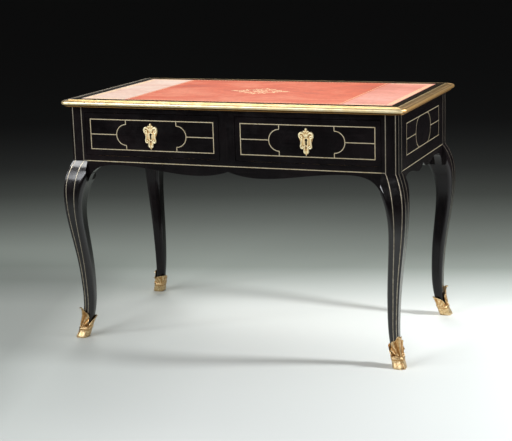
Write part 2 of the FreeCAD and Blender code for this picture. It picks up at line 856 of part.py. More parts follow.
def moulding_length(name, half_run, distance, turn):
    """One length of moulding, with half a rounded corner at each end, turned to its side."""
    section = Part.Face(Part.Wire(Part.__sortEdges__(moulding_section())))
    section.translate(Vector(-float(half_run), -float(distance), float(carcase_top)))
    straight = section.extrude(Vector(2 * float(half_run), 0, 0))
    solids = [straight]
    for way in (-1, 1):
        axis_foot = Vector(way * float(half_run), -float(distance), 0)
        end = section.translated(Vector(float(half_run) * (way + 1), 0, 0))
        solids.append(end.revolve(axis_foot, ALONG_Z, 45 * way))
    piece = doc.addObject("Part::Feature", name)
    piece.Shape = solids[0].multiFuse(solids[1:]).removeSplitter().Solids[0]
    piece.Placement = FreeCAD.Placement(Vector(), FreeCAD.Rotation(ALONG_Z, turn))
    return piece


node("moulding_front", moulding_length("moulding_front_solid", frame_x, frame_y, 0))
node("moulding_right", moulding_length("moulding_right_solid", frame_y, frame_x, 90))
node("moulding_back", moulding_length("moulding_back_solid", frame_x, frame_y, 180))
node("moulding_left", moulding_length("moulding_left_solid", frame_y, frame_x, 270))

# The drawers. Sides are dovetailed into the front and the back, and the bottom slides in grooves.
front_face = -half_depth
front_back = front_face + size.drawer_front_thickness
drawer_end = rail_inner_y - size.drawer_back_room
back_inner = drawer_end - size.drawer_back_thickness
side_low = sill_level + size.running_gap
side_high = drawer_high - size.drawer_side_drop
floor_low = side_low + size.drawer_bottom_rise
floor_high = floor_low + size.drawer_bottom_thickness
back_high = side_high - size.drawer_back_drop
FRONT_TAILS = 3
BACK_TAILS = 2


def tails(name, x, root, tip, low, high, count):
    """Dovetails on the end of a drawer side, wider at the tip than at the root."""
    pieces = []
    for index in range(count):
        middle = low + (high - low) * ((index + 0.5) / count)
        tail = doc.addObject("Part::Wedge", f"{name}_{index}")
        towards_back = float(tip) > float(root)
        ends = ((root, size.tail_root), (tip, size.tail_tip))
        near, far = ends if towards_back else (ends[1], ends[0])
        bounds = {
            "Xmin": x[0], "Xmax": x[1], "X2min": x[0], "X2max": x[1],
            "Ymin": near[0], "Ymax": far[0],
            "Zmin": middle - near[1] / 2, "Zmax": middle + near[1] / 2,
            "Z2min": middle - far[1] / 2, "Z2max": middle + far[1] / 2,
        }
        tail.Ymin = -float(size.top_depth)
        tail.Ymax = float(size.top_depth)
        for bound, place in bounds.items():
            tail.setExpression(bound, formula_of(place))
        pieces.append(tail)
    return pieces


# The cartouche of an escutcheon, as shares of its half width and half height: a bud on top, two
# broad shoulders, a waist, two small scrolls and a drop.
ESCUTCHEON_SIDE = [
    (0.16, 0.90), (0.34, 0.76), (0.62, 0.72), (1.00, 0.42), (0.80, 0.08),
    (0.74, -0.22), (0.80, -0.44), (0.44, -0.58), (0.36, -0.80),
]


def escutcheon_edges(place, middle_x):
    """The outline of an escutcheon."""
    half_wide = float(size.escutcheon_width) / 2
    half_tall = float(size.escutcheon_height) / 2
    right = [(share_x * half_wide, share_z * half_tall) for share_x, share_z in ESCUTCHEON_SIDE]
    left = [(-x, z) for x, z in reversed(right)]
    around = [(0, half_tall)] + right + [(0, -half_tall)] + left
    spline = Part.BSplineCurve()
    points = [place(float(middle_x) + x, float(drawer_middle_z) + z) for x, z in around]
    spline.interpolate(Points=points, PeriodicFlag=True)
    return [spline.toShape()]


bolt_mortises = []
for side_name, side in SIDES.items():
    middle = drawer_middle_x * side
    drawer_x = span(side, drawer_inner_x, drawer_outer_x)
    side_x = {
        "inner": span(side, drawer_inner_x, drawer_inner_x + size.drawer_side_thickness),
        "outer": span(side, drawer_outer_x - size.drawer_side_thickness, drawer_outer_x),
    }
    floor_x = span(
        side,
        drawer_inner_x + size.drawer_side_thickness - size.groove_depth,
        drawer_outer_x - size.drawer_side_thickness + size.groove_depth,
    )
    floor_y = (front_back - size.groove_depth, drawer_end)
    floor = block(f"drawer_floor_{side_name}", floor_x, floor_y, (floor_low, floor_high))
    boards = []
    for place, x in side_x.items():
        label = f"drawer_{place}_side_{side_name}"
        plank = block(f"{label}_plank", x, (front_back, back_inner), (side_low, side_high))
        tail_tip = front_back - size.tail_length
        front_tails = tails(f"{label}_front", x, front_back, tail_tip, drawer_low, side_high, FRONT_TAILS)
        back_tails = tails(f"{label}_back", x, back_inner, drawer_end, floor_high, back_high, BACK_TAILS)
        board = gather("Part::MultiFuse", f"{label}_board", [plank] + front_tails + back_tails)
        boards.append(board)
        node(f"{side_name}_drawer_{place}_side", cut(f"{label}_solid", board, floor))
    back_y = (back_inner, drawer_end)
    back_board = block(f"drawer_back_{side_name}", drawer_x, back_y, (floor_high, back_high))
    node(f"{side_name}_drawer_back", cut(f"drawer_back_{side_name}_solid", back_board, *boards))
    node(f"{side_name}_drawer_bottom", floor)

    # The lock, let into the back of the drawer front, and the bolt that rises into the rail.
    lock_z = (drawer_high - size.lock_height, drawer_high)
    lock_y = (front_back - size.lock_depth, front_back)
    bolt_room = (size.lock_depth - size.bolt_thickness) / 2
    bolt_y = (lock_y[0] + bolt_room, lock_y[1] - bolt_room)
    lock_x = (middle - size.lock_width / 2, middle + size.lock_width / 2)
    bolt_x = (middle - size.bolt_width / 2, middle + size.bolt_width / 2)
    lock_space = block(f"lock_space_{side_name}", lock_x, lock_y, lock_z)
    bolt = block(f"lock_bolt_{side_name}", bolt_x, bolt_y, (drawer_high - size.bolt_height, drawer_high))
    clear = size.running_gap
    channel = block(
        f"lock_channel_{side_name}",
        (bolt_x[0] - clear, bolt_x[1] + clear),
        (bolt_y[0] - clear, bolt_y[1] + clear),
        (drawer_high - size.bolt_height - clear, drawer_high),
    )
    clear = size.bolt_clearance
    bolt_mortises.append(
        block(
            f"bolt_mortise_{side_name}",
            (bolt_x[0] - clear, bolt_x[1] + clear),
            (bolt_y[0] - clear, bolt_y[1] + clear),
            (opening_top, drawer_high + size.bolt_throw + clear),
        )
    )
    key_start = front_face - size.escutcheon_thickness
    key_length = size.escutcheon_thickness + size.drawer_front_thickness
    key_round = rod(
        f"keyhole_round_{side_name}",
        size.keyhole_diameter,
        key_length,
        middle,
        key_start,
        drawer_middle_z,
        ALONG_Y,
    )
    key_slot = block(
        f"keyhole_slot_{side_name}",
        (middle - size.keyhole_slot_width / 2, middle + size.keyhole_slot_width / 2),
        (key_start, key_start + key_length),
        (drawer_middle_z - size.keyhole_slot_drop, drawer_middle_z),
    )
    keyhole = gather("Part::MultiFuse", f"keyhole_{side_name}", [key_round, key_slot])
    node(f"{side_name}_lock_case", cut(f"lock_case_{side_name}", lock_space, channel, keyhole))
    node(f"{side_name}_lock_bolt", bolt)

    # The escutcheon over the keyhole, and the two pins that hold it.
    pins = []
    for way_name, way in (("upper", 1), ("lower", -1)):
        pin_z = drawer_middle_z + size.pin_reach * way
        shank = rod(
            f"pin_shank_{way_name}_{side_name}",
            size.pin_diameter,
            size.pin_length,
            middle,
            key_start,
            pin_z,
            ALONG_Y,
        )
        head = rod(
            f"pin_head_{way_name}_{side_name}",
            size.pin_head_diameter,
            size.pin_head_height,
            middle,
            key_start - size.pin_head_height,
            pin_z,
            ALONG_Y,
        )
        pins.append(gather("Part::MultiFuse", f"pin_{way_name}_{side_name}", [shank, head]))
    plate = prism(
        f"escutcheon_plate_{side_name}",
        escutcheon_edges(in_xz(key_start), middle),
        ALONG_Y,
        size.escutcheon_thickness,
    )
    node(f"{side_name}_escutcheon", cut(f"escutcheon_{side_name}", plate, keyhole, *pins))
    node(f"{side_name}_escutcheon_pins", gather("Part::Compound", f"escutcheon_pins_{side_name}", pins))

    # The drawer front, with everything that is let into it.
    low, high = span(
        side, drawer_inner_x + size.panel_string_inset, drawer_outer_x - size.panel_string_inset
    )
    pattern = drawer_pattern(
        f"drawer_pattern_{side_name}", front_strip, in_xz(front_face), ALONG_Y, middle, low, high
    )
    front_y_run = (front_face, front_back)
    front_board = block(f"drawer_front_{side_name}", drawer_x, front_y_run, (drawer_low, drawer_high))
    drawer_front = cut(
        f"drawer_front_{side_name}_solid", front_board, *boards, floor, lock_space, keyhole, pattern, *pins
    )
    node(f"{side_name}_drawer_front", drawer_front)
    node(f"{side_name}_drawer_stringing", pattern)

# The front top rail, with mortises for the two lock bolts.
top_board = block("front_top_board", (-post_inner_x, post_inner_x), front_y, (opening_top, carcase_top))
ends = [tenons["top", f"front_{side_name}"] for side_name in SIDES]
jointed = gather("Part::MultiFuse", "front_top_rail_jointed", [top_board] + ends)
node("front_top_rail", cut("front_top_rail_solid", jointed, *bolt_mortises, *rail_screws))

doc.recompute()
for piece in doc.Objects:
    if "Invalid" in piece.State or "Error" in piece.State:
        raise RuntimeError(f"{piece.Name} could not be made: {piece.State}")
for piece in nodes:
    if piece.Shape.isNull() or not piece.Shape.isValid() or not piece.Shape.Solids:
        raise RuntimeError(f"{piece.Label} is not a sound solid")

os.makedirs("parts", exist_ok=True)
for piece in nodes:
    piece.Shape.exportStep(os.path.join("parts", f"{piece.Label}.step"))
print(f"{len(nodes)} nodes written")
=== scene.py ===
from math import atan2, cos, exp, hypot, pi, radians, sin

import bmesh
import bpy
from mathutils import Matrix, Vector


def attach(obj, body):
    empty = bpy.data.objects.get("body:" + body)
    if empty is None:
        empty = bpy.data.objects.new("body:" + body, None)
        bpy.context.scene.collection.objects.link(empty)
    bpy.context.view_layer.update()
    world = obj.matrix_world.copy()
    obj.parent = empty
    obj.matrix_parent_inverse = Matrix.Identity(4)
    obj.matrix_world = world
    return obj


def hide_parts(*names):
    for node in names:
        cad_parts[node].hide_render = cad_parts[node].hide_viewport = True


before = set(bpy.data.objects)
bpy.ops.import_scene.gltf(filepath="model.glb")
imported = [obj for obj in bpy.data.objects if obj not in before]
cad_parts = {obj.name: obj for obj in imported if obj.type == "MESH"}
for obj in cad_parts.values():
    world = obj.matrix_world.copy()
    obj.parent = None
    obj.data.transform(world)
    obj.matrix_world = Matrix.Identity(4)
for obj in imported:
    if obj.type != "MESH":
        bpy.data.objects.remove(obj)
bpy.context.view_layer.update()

# Legs: four cabriole legs, each one length of pear wood from the frieze down to the foot.
# They are stained black and french polished, with the grain upright, the back pair duller.
# The rails are tenoned into their posts.

EVEN = (1, 1, 1)
GRAIN_UPRIGHT = (260, 260, 7)
EBONY = ((0.0022, 0.0018, 0.0021), (0.0060, 0.0046, 0.0050))
FADING = (0.0055, 0.0036, 0.0040)


def new_material(name):
    material = bpy.data.materials.new(name)
    material.use_nodes = True
    tree = material.node_tree
    return material, tree, tree.nodes["Principled BSDF"]


def stretched_noise(tree, stretch, scale, detail=4.0, rough=0.55, twist=0.0):
    place = tree.nodes.new("ShaderNodeTexCoord")
    mapping = tree.nodes.new("ShaderNodeMapping")
    mapping.inputs["Scale"].default_value = stretch
    noise = tree.nodes.new("ShaderNodeTexNoise")
    noise.inputs["Scale"].default_value = scale
    noise.inputs["Detail"].default_value = detail
    noise.inputs["Roughness"].default_value = rough
    noise.inputs["Distortion"].default_value = twist
    tree.links.new(place.outputs["Object"], mapping.inputs["Vector"])
    tree.links.new(mapping.outputs["Vector"], noise.inputs["Vector"])
    return noise.outputs["Fac"]


def tone_ramp(tree, factor, stops):
    ramp = tree.nodes.new("ShaderNodeValToRGB")
    marks = ramp.color_ramp.elements
    while len(marks) < len(stops):
        marks.new(0.5)
    for mark, (position, tone) in zip(marks, stops):
        mark.position = position
        mark.color = (*tone, 1.0) if hasattr(tone, "__len__") else (tone, tone, tone, 1.0)
    tree.links.new(factor, ramp.inputs["Fac"])
    return ramp.outputs["Color"]


def mixed(tree, way, factor, first, second):
    mix = tree.nodes.new("ShaderNodeMix")
    mix.data_type = "RGBA"
    mix.blend_type = way
    for socket, value in (("Factor_Float", factor), ("A_Color", first), ("B_Color", second)):
        entry = next(item for item in mix.inputs if item.identifier == socket)
        if isinstance(value, bpy.types.NodeSocket):
            tree.links.new(value, entry)
        else:
            entry.default_value = value
    return next(item for item in mix.outputs if item.identifier == "Result_Color")


def raised(tree, shader, height, strength, depth):
    bump = tree.nodes.new("ShaderNodeBump")
    bump.inputs["Strength"].default_value = strength
    bump.inputs["Distance"].default_value = depth
    tree.links.new(height, bump.inputs["Height"])
    tree.links.new(bump.outputs["Normal"], shader.inputs["Normal"])


def black_polish(name, grain, stain=EBONY, gloss=0.36, coat=0.30):
    material, tree, shader = new_material(name)
    fibres = stretched_noise(tree, grain, scale=1.0, detail=5.0, rough=0.6)
    patches = stretched_noise(tree, EVEN, scale=9.0, detail=3.0)
    rubbing = stretched_noise(tree, EVEN, scale=26.0, detail=6.0, rough=0.65)
    black = tone_ramp(tree, fibres, [(0.35, stain[0]), (0.7, stain[1])])
    faded = tone_ramp(tree, patches, [(0.45, 0.0), (0.8, FADING)])
    shine = tone_ramp(tree, rubbing, [(0.35, 0.10), (0.7, 0.24)])
    tree.links.new(mixed(tree, "ADD", 1.0, black, faded), shader.inputs["Base Color"])
    tree.links.new(shine, shader.inputs["Roughness"])
    shader.inputs["Specular IOR Level"].default_value = gloss
    shader.inputs["Coat Weight"].default_value = coat
    shader.inputs["Coat Roughness"].default_value = 0.09
    raised(tree, shader, fibres, strength=0.10, depth=0.0004)
    return material


def dress(material, *names):
    for name in names:
        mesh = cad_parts[name].data
        mesh.materials.clear()
        mesh.materials.append(material)


upright_polish = black_polish("black_polish_upright", GRAIN_UPRIGHT, gloss=0.42, coat=0.34)
dulled_polish = black_polish("black_polish_dulled", GRAIN_UPRIGHT, gloss=0.19, coat=0.09)
dress(upright_polish, "leg_front_left", "leg_front_right")
dress(dulled_polish, "leg_back_left", "leg_back_right")

# Rails: the side, back and front rails that tie the legs, with a shaped lower edge.
# They are of the same blackened pear wood, with the grain along each rail.
# The divider stands between the two drawers, glued to the front rails.

GRAIN_LONG = (7, 260, 260)
GRAIN_DEEP = (260, 7, 260)
long_polish = black_polish("black_polish_long", GRAIN_LONG)
deep_polish = black_polish("black_polish_deep", GRAIN_DEEP, gloss=0.24, coat=0.15)
dress(long_polish, "back_rail", "front_top_rail", "front_bottom_rail")
dress(deep_polish, "side_rail_left", "side_rail_right")
dress(upright_polish, "drawer_divider")

# Brass string: strips of drawn brass let into sawn grooves in the legs and rails.
# They are glued flush and rubbed down, bright with a little tarnish, and duller on the legs.


def drawn_brass(name, dull, plain, bright):
    material, tree, shader = new_material(name)
    tarnish = stretched_noise(tree, EVEN, scale=85.0, detail=5.0, rough=0.6)
    brass = tone_ramp(tree, tarnish, [(0.3, dull), (0.55, plain), (0.75, bright)])
    shine = tone_ramp(tree, tarnish, [(0.3, 0.52), (0.7, 0.34)])
    tree.links.new(brass, shader.inputs["Base Color"])
    tree.links.new(shine, shader.inputs["Roughness"])
    shader.inputs["Metallic"].default_value = 0.8
    raised(tree, shader, tarnish, strength=0.15, depth=0.0003)
    return material


string_brass = drawn_brass(
    "string_brass",
    dull=(0.40, 0.32, 0.19),
    plain=(0.66, 0.57, 0.39),
    bright=(0.78, 0.71, 0.53),
)
handled_brass = drawn_brass(
    "handled_brass",
    dull=(0.18, 0.155, 0.115),
    plain=(0.32, 0.285, 0.22),
    bright=(0.47, 0.43, 0.35),
)
dress(handled_brass, "leg_stringing")
dress(string_brass, "side_stringing_left", "side_stringing_right", "back_stringing", "front_stringing")

# Inner frame: runners, guides and kickers of oak, planed, left bare and glued inside the rails.
# The runners and guides carry the drawers, and the kickers keep an open drawer from tipping.
# Steel screws go up through the kickers and the front top rail into the top.

OAK_TONES = [(0.3, (0.24, 0.135, 0.062)), (0.5, (0.40, 0.25, 0.125)), (0.72, (0.50, 0.335, 0.18))]
STEEL_TONES = [(0.35, (0.13, 0.115, 0.10)), (0.65, (0.46, 0.45, 0.43))]


def planed_oak(name, grain, across):
    material, tree, shader = new_material(name)
    rings = stretched_noise(tree, grain, scale=1.0, detail=3.0, rough=0.5, twist=0.6)
    pores = stretched_noise(tree, across, scale=1.0, detail=2.0, rough=0.7)
    wood = tone_ramp(tree, rings, OAK_TONES)
    flecks = tone_ramp(tree, pores, [(0.30, (0.42, 0.36, 0.30)), (0.42, 1.0)])
    shine = tone_ramp(tree, rings, [(0.3, 0.72), (0.7, 0.55)])
    tree.links.new(mixed(tree, "MULTIPLY", 1.0, wood, flecks), shader.inputs["Base Color"])
    tree.links.new(shine, shader.inputs["Roughness"])
    raised(tree, shader, pores, strength=0.25, depth=0.0004)
    return material


def filed_steel(name):
    material, tree, shader = new_material(name)
    filing = stretched_noise(tree, (900, 40, 900), scale=1.0, detail=3.0)
    age = stretched_noise(tree, EVEN, scale=130.0, detail=5.0, rough=0.65)
    shine = tone_ramp(tree, filing, [(0.3, 0.28), (0.7, 0.46)])
    tree.links.new(tone_ramp(tree, age, STEEL_TONES), shader.inputs["Base Color"])
    tree.links.new(shine, shader.inputs["Roughness"])
    shader.inputs["Metallic"].default_value = 1.0
    raised(tree, shader, filing, strength=0.2, depth=0.0002)
    return material


oak_deep = planed_oak("oak_deep", (55, 3, 55), (700, 30, 700))
dress(oak_deep, "runner_left", "runner_right", "runner_middle", "guide_left", "guide_right")
dress(oak_deep, "kicker_left", "kicker_right")
bright_steel = filed_steel("filed_steel")
dress(bright_steel, "top_screws")

# Top: an oak panel with a black border in four mitred lengths, lined with three skins of leather.
# The border is rubbed brown, with a painted grey reflection at the left end. The skins are glued down
# edge to edge.
# The hide has a fine pebbled grain, faded in patches, and paler towards the front as painted sheen; the
# two end skins are paler hide with painted sheen on top, most at the left.

RUBBED = ((0.020, 0.0125, 0.0060), (0.042, 0.028, 0.0145))
# The grey tones of the left border are a painted reflection.
GREY_PAINTED_REFLECTION = ((0.036, 0.034, 0.027), (0.068, 0.064, 0.052))
BORDER_GLOSS = 0.30
BORDER_COAT = 0.15
# Between these two depths the hide grows paler towards the front: this is painted sheen.
FRONT_SHEEN_START = 0.15
FRONT_SHEEN_END = -0.25
FRONT_SHEEN_AMOUNT = 0.13


def along_axis(tree, axis, start, end, most=1.0, turn=0.0):
    place = tree.nodes.new("ShaderNodeTexCoord")
    mapping = tree.nodes.new("ShaderNodeMapping")
    mapping.inputs["Rotation"].default_value = (0.0, 0.0, turn)
    axes = tree.nodes.new("ShaderNodeSeparateXYZ")
    reach = tree.nodes.new("ShaderNodeMapRange")
    reach.inputs["From Min"].default_value = start
    reach.inputs["From Max"].default_value = end
    reach.inputs["To Max"].default_value = most
    tree.links.new(place.outputs["Object"], mapping.inputs["Vector"])
    tree.links.new(mapping.outputs["Vector"], axes.inputs["Vector"])
    tree.links.new(axes.outputs[axis], reach.inputs["Value"])
    return reach.outputs["Result"]


def red_hide(name, deep, plain, faded):
    material, tree, shader = new_material(name)
    patches = stretched_noise(tree, (1.0, 1.6, 1.0), scale=5.5, detail=5.0, rough=0.62, twist=0.4)
    mottle = stretched_noise(tree, EVEN, scale=75.0, detail=4.0, rough=0.6)
    # Random faded patches, plus a paler band towards the front that is painted sheen.
    both = tree.nodes.new("ShaderNodeMath")
    both.operation = "ADD"
    tree.links.new(patches, both.inputs[0])
    tree.links.new(along_axis(tree, "Y", FRONT_SHEEN_START, FRONT_SHEEN_END, FRONT_SHEEN_AMOUNT), both.inputs[1])
    wear_and_painted_light = both.outputs["Value"]
    dye = tone_ramp(tree, wear_and_painted_light, [(0.34, deep), (0.52, plain), (0.70, faded)])
    speckle = tone_ramp(tree, mottle, [(0.3, (0.86, 0.84, 0.84)), (0.65, 1.0)])
    shine = tone_ramp(tree, wear_and_painted_light, [(0.3, 0.55), (0.7, 0.68)])
    tree.links.new(mixed(tree, "MULTIPLY", 1.0, dye, speckle), shader.inputs["Base Color"])
    tree.links.new(shine, shader.inputs["Roughness"])
    shader.inputs["Specular IOR Level"].default_value = 0.28
    place = tree.nodes.new("ShaderNodeTexCoord")
    pebble = tree.nodes.new("ShaderNodeTexVoronoi")
    pebble.feature = "SMOOTH_F1"
    pebble.inputs["Scale"].default_value = 620.0
    tree.links.new(place.outputs["Object"], pebble.inputs["Vector"])
    raised(tree, shader, pebble.outputs["Distance"], strength=0.22, depth=0.0005)
    return material


oak_long = planed_oak("oak_long", (3, 55, 55), (30, 700, 700))
rubbed_long = black_polish("rubbed_black_long", GRAIN_LONG, RUBBED, BORDER_GLOSS, BORDER_COAT)
rubbed_deep = black_polish("rubbed_black_deep", GRAIN_DEEP, RUBBED, BORDER_GLOSS, BORDER_COAT)
reflection_black_deep = black_polish("black_deep_painted_reflection", GRAIN_DEEP, GREY_PAINTED_REFLECTION, BORDER_GLOSS, BORDER_COAT)
# The end skins are a paler hide, and their tones are lifted further as painted sheen, most on the left
# skin.
hide_left = red_hide(
    "hide_left",
    deep=(0.74, 0.42, 0.32),
    plain=(0.81, 0.57, 0.46),
    faded=(0.84, 0.66, 0.55),
)
hide_middle = red_hide(
    "hide_middle",
    deep=(0.55, 0.090, 0.033),
    plain=(0.71, 0.13, 0.050),
    faded=(0.78, 0.235, 0.13),
)
hide_right = red_hide(
    "hide_right",
    deep=(0.64, 0.20, 0.13),
    plain=(0.76, 0.29, 0.21),
    faded=(0.80, 0.38, 0.30),
)
dress(oak_long, "top_panel")
dress(rubbed_long, "border_front", "border_back")
dress(rubbed_deep, "border_right")
dress(reflection_black_deep, "border_left")
dress(hide_left, "leather_left")
dress(hide_middle, "leather_middle")
dress(hide_right, "leather_right")

# Gold tooling: gold leaf stamped into the leather with hot rolls and small hand tools.
# Lines follow the edge of each skin, with a row of leaves and dots beside them.
# The middle skin has a lozenge-shaped ornament of scrolls and leaves at its centre.

MM = 0.001
HIDE_TOP = 749.7
LEAF_RISE = 0.10
SKINS = {"left": (-488.0, -340.0), "middle": (-340.0, 340.0), "right": (340.0, 488.0)}
SKIN_HALF_DEPTH = 248.0
SEAM_SIDE = {"left": 1, "right": 3}
ROW_STEP = 11.0
CORNER_ROUND = 5.0
MIDDLE_LINES = ((2.2, 1.2), (9.0, 0.8))
MIDDLE_SPRIG = ((0.0, 0.0, 3.6, 1.7, 0.0), (5.5, 0.0, 0.9, 0.9, 0.0))
MIDDLE_ROW_INSET = 6.2
END_LINES = ((2.2, 1.2), (20.4, 1.2), (23.4, 0.7))
END_SPRIG = (
    (0.0, 0.0, 3.2, 3.0, 0.0),
    (-3.3, 5.5, 3.1, 1.7, -1.15),
    (3.3, 5.5, 3.1, 1.7, 1.15),
    (-3.3, -5.5, 3.1, 1.7, 1.15),
    (3.3, -5.5, 3.1, 1.7, -1.15),
    (5.5, 0.0, 1.2, 1.2, 0.0),
)
END_ROW_INSET = 11.9
GOLD_LEAF_TONES = [(0.28, (0.60, 0.28, 0.13)), (0.42, (0.84, 0.62, 0.34)), (0.7, (0.92, 0.76, 0.48))]


def gold_leaf(name):
    material, tree, shader = new_material(name)
    rubbed = stretched_noise(tree, EVEN, scale=160.0, detail=5.0, rough=0.7)
    shine = tone_ramp(tree, rubbed, [(0.3, 0.62), (0.7, 0.42)])
    tree.links.new(tone_ramp(tree, rubbed, GOLD_LEAF_TONES), shader.inputs["Base Color"])
    tree.links.new(shine, shader.inputs["Roughness"])
    shader.inputs["Metallic"].default_value = 0.35
    raised(tree, shader, rubbed, strength=0.2, depth=0.0003)
    return material


def stamp_line(shape, x_low, x_high, inset, width):
    low, high, deep = x_low + inset, x_high - inset, SKIN_HALF_DEPTH - inset
    middle = Matrix.Translation(((low + high) / 2, 0, HIDE_TOP))
    spot = middle @ Matrix.Diagonal(((high - low) / 2, deep, 1, 1))
    sheet = bmesh.ops.create_grid(shape, x_segments=1, y_segments=1, size=1.0, matrix=spot)
    inside = list({face for vert in sheet["verts"] for face in vert.link_faces})
    bmesh.ops.inset_region(shape, faces=inside, thickness=width, use_even_offset=True)
    bmesh.ops.delete(shape, geom=inside, context="FACES")


def stamp_leaf(shape, x, y, long, wide, turn=0.0, points=10):
    spot = Matrix.Translation((x, y, HIDE_TOP)) @ Matrix.Rotation(turn, 4, "Z")
    spot = spot @ Matrix.Diagonal((long, wide, 1, 1)) @ Matrix.Rotation(pi / 2, 4, "Z")
    bmesh.ops.create_circle(shape, cap_ends=True, segments=points, radius=1.0, matrix=spot)


def stamp_row(shape, start, end, sprig, skipped):
    count = round(hypot(end[0] - start[0], end[1] - start[1]) / ROW_STEP)
    turn = atan2(end[1] - start[1], end[0] - start[0])
    for step in range(skipped, count - skipped):
        share = (step + 0.5) / count
        x = start[0] + (end[0] - start[0]) * share
        y = start[1] + (end[1] - start[1]) * share
        for along, across, long, wide, lean in sprig:
            spot_x = x + along * cos(turn) - across * sin(turn)
            spot_y = y + along * sin(turn) + across * cos(turn)
            stamp_leaf(shape, spot_x, spot_y, long, wide, turn + lean, 6)


def press_down(shape):
    made = bmesh.ops.extrude_face_region(shape, geom=list(shape.faces))
    risen = [item for item in made["geom"] if isinstance(item, bmesh.types.BMVert)]
    bmesh.ops.translate(shape, verts=risen, vec=(0, 0, LEAF_RISE))
    bmesh.ops.recalc_face_normals(shape, faces=list(shape.faces))
    bmesh.ops.scale(shape, verts=list(shape.verts), vec=(MM, MM, MM))


def keep_piece(shape, name, material, body, sharp=40.0):
    mesh = bpy.data.meshes.new(name)
    shape.to_mesh(mesh)
    shape.free()
    mesh.materials.append(material)
    mesh.shade_smooth()
    mesh.set_sharp_from_angle(angle=radians(sharp))
    piece = bpy.data.objects.new(name, mesh)
    bpy.context.scene.collection.objects.link(piece)
    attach(piece, body)
    return piece


tooling_gold = gold_leaf("tooling_gold")
for skin, (x_low, x_high) in SKINS.items():
    whole_row = skin == "middle"
    lines = MIDDLE_LINES if whole_row else END_LINES
    sprig = MIDDLE_SPRIG if whole_row else END_SPRIG
    inset = MIDDLE_ROW_INSET if whole_row else END_ROW_INSET
    border = bmesh.new()
    for line_inset, width in lines:
        stamp_line(border, x_low, x_high, line_inset, width)
    left, right, deep = x_low + inset, x_high - inset, SKIN_HALF_DEPTH - inset
    corners = [(left, -deep), (right, -deep), (right, deep), (left, deep)]
    for turn in range(4):
        if turn != SEAM_SIDE.get(skin):
            stamp_row(border, corners[turn], corners[(turn + 1) % 4], sprig, 0 if whole_row else 1)
        if not whole_row:
            stamp_leaf(border, *corners[turn], CORNER_ROUND, CORNER_ROUND, 0.0, 8)
    press_down(border)
    keep_piece(border, "tooled_border_" + skin, tooling_gold, "carcase")

STRAP = [(98, 0), (84, 5), (66, 8), (50, 19), (37, 33), (22, 38), (10, 50), (0, 68)]
LONG_SCROLL = [(70, 0), (64, 13), (50, 17), (40, 10), (43, 2), (51, 4)]
SHORT_SCROLL = [(0, 47), (13, 43), (22, 30), (15, 20), (6, 23), (8, 30)]
TENDRIL = [(24, 10), (34, 18), (33, 27), (25, 26), (26, 20)]
STRAP_WIDTHS = (0.5, 1.2, 1.8, 1.8, 1.8, 1.8, 1.2, 0.5)
SCROLL_WIDTHS = (0.8, 1.5, 1.8, 1.7, 1.5, 1.8)
TENDRIL_WIDTHS = (0.7, 1.1, 1.2, 1.1, 1.4)
ORNAMENT_LEAVES = (
    (82, 0, 9, 3.2, 0.0),
    (58, 7, 6, 2.4, 0.5),
    (55, 27, 6, 2.6, 0.9),
    (30, 45, 6, 2.6, 0.7),
    (0, 57, 8, 3.0, pi / 2),
    (16, 0, 8, 3.4, 0.0),
    (0, 15, 7, 3.2, pi / 2),
    (12, 10, 7, 2.8, pi / 4),
)
ORNAMENT_DOTS = ((62, 18), (16, 55))
DOT_ROUND = 1.7
HEART_ROUND = 5.0


def mesh_of(route):
    holder = bpy.data.objects.new(route.name, route)
    bpy.context.scene.collection.objects.link(holder)
    bpy.context.view_layer.update()
    drawn = holder.evaluated_get(bpy.context.evaluated_depsgraph_get())
    mesh = bpy.data.meshes.new_from_object(drawn)
    bpy.data.objects.remove(holder)
    bpy.data.curves.remove(route)
    return mesh


def add_mesh(shape, mesh):
    shape.from_mesh(mesh)
    bpy.data.meshes.remove(mesh)


def add_rod(shape, points, thickness, closed=False, sides=2):
    route = bpy.data.curves.new("rod_route", "CURVE")
    route.dimensions = "3D"
    route.bevel_depth = 1.0
    route.bevel_resolution = sides
    route.resolution_u = 5
    route.use_fill_caps = True
    line = route.splines.new("NURBS")
    line.points.add(len(points) - 1)
    for spot, place, radius in zip(line.points, points, thickness):
        spot.co = (*place, 1.0)
        spot.radius = radius
    line.order_u = 4
    line.use_endpoint_u = not closed
    line.use_cyclic_u = closed
    before = len(shape.verts)
    add_mesh(shape, mesh_of(route))
    shape.verts.ensure_lookup_table()
    return shape.verts[before:]


def lay_flat(verts, rise):
    for vert in verts:
        vert.co.z = HIDE_TOP + rise * (0.5 + 0.5 * max(-1.0, min(1.0, vert.co.z)))


def fold_over(shape, turn):
    copy = bmesh.ops.duplicate(shape, geom=list(shape.verts) + list(shape.edges) + list(shape.faces))
    fresh = [item for item in copy["geom"] if isinstance(item, bmesh.types.BMVert)]
    bmesh.ops.transform(shape, matrix=turn, verts=fresh)
    bmesh.ops.recalc_face_normals(shape, faces=list(shape.faces))


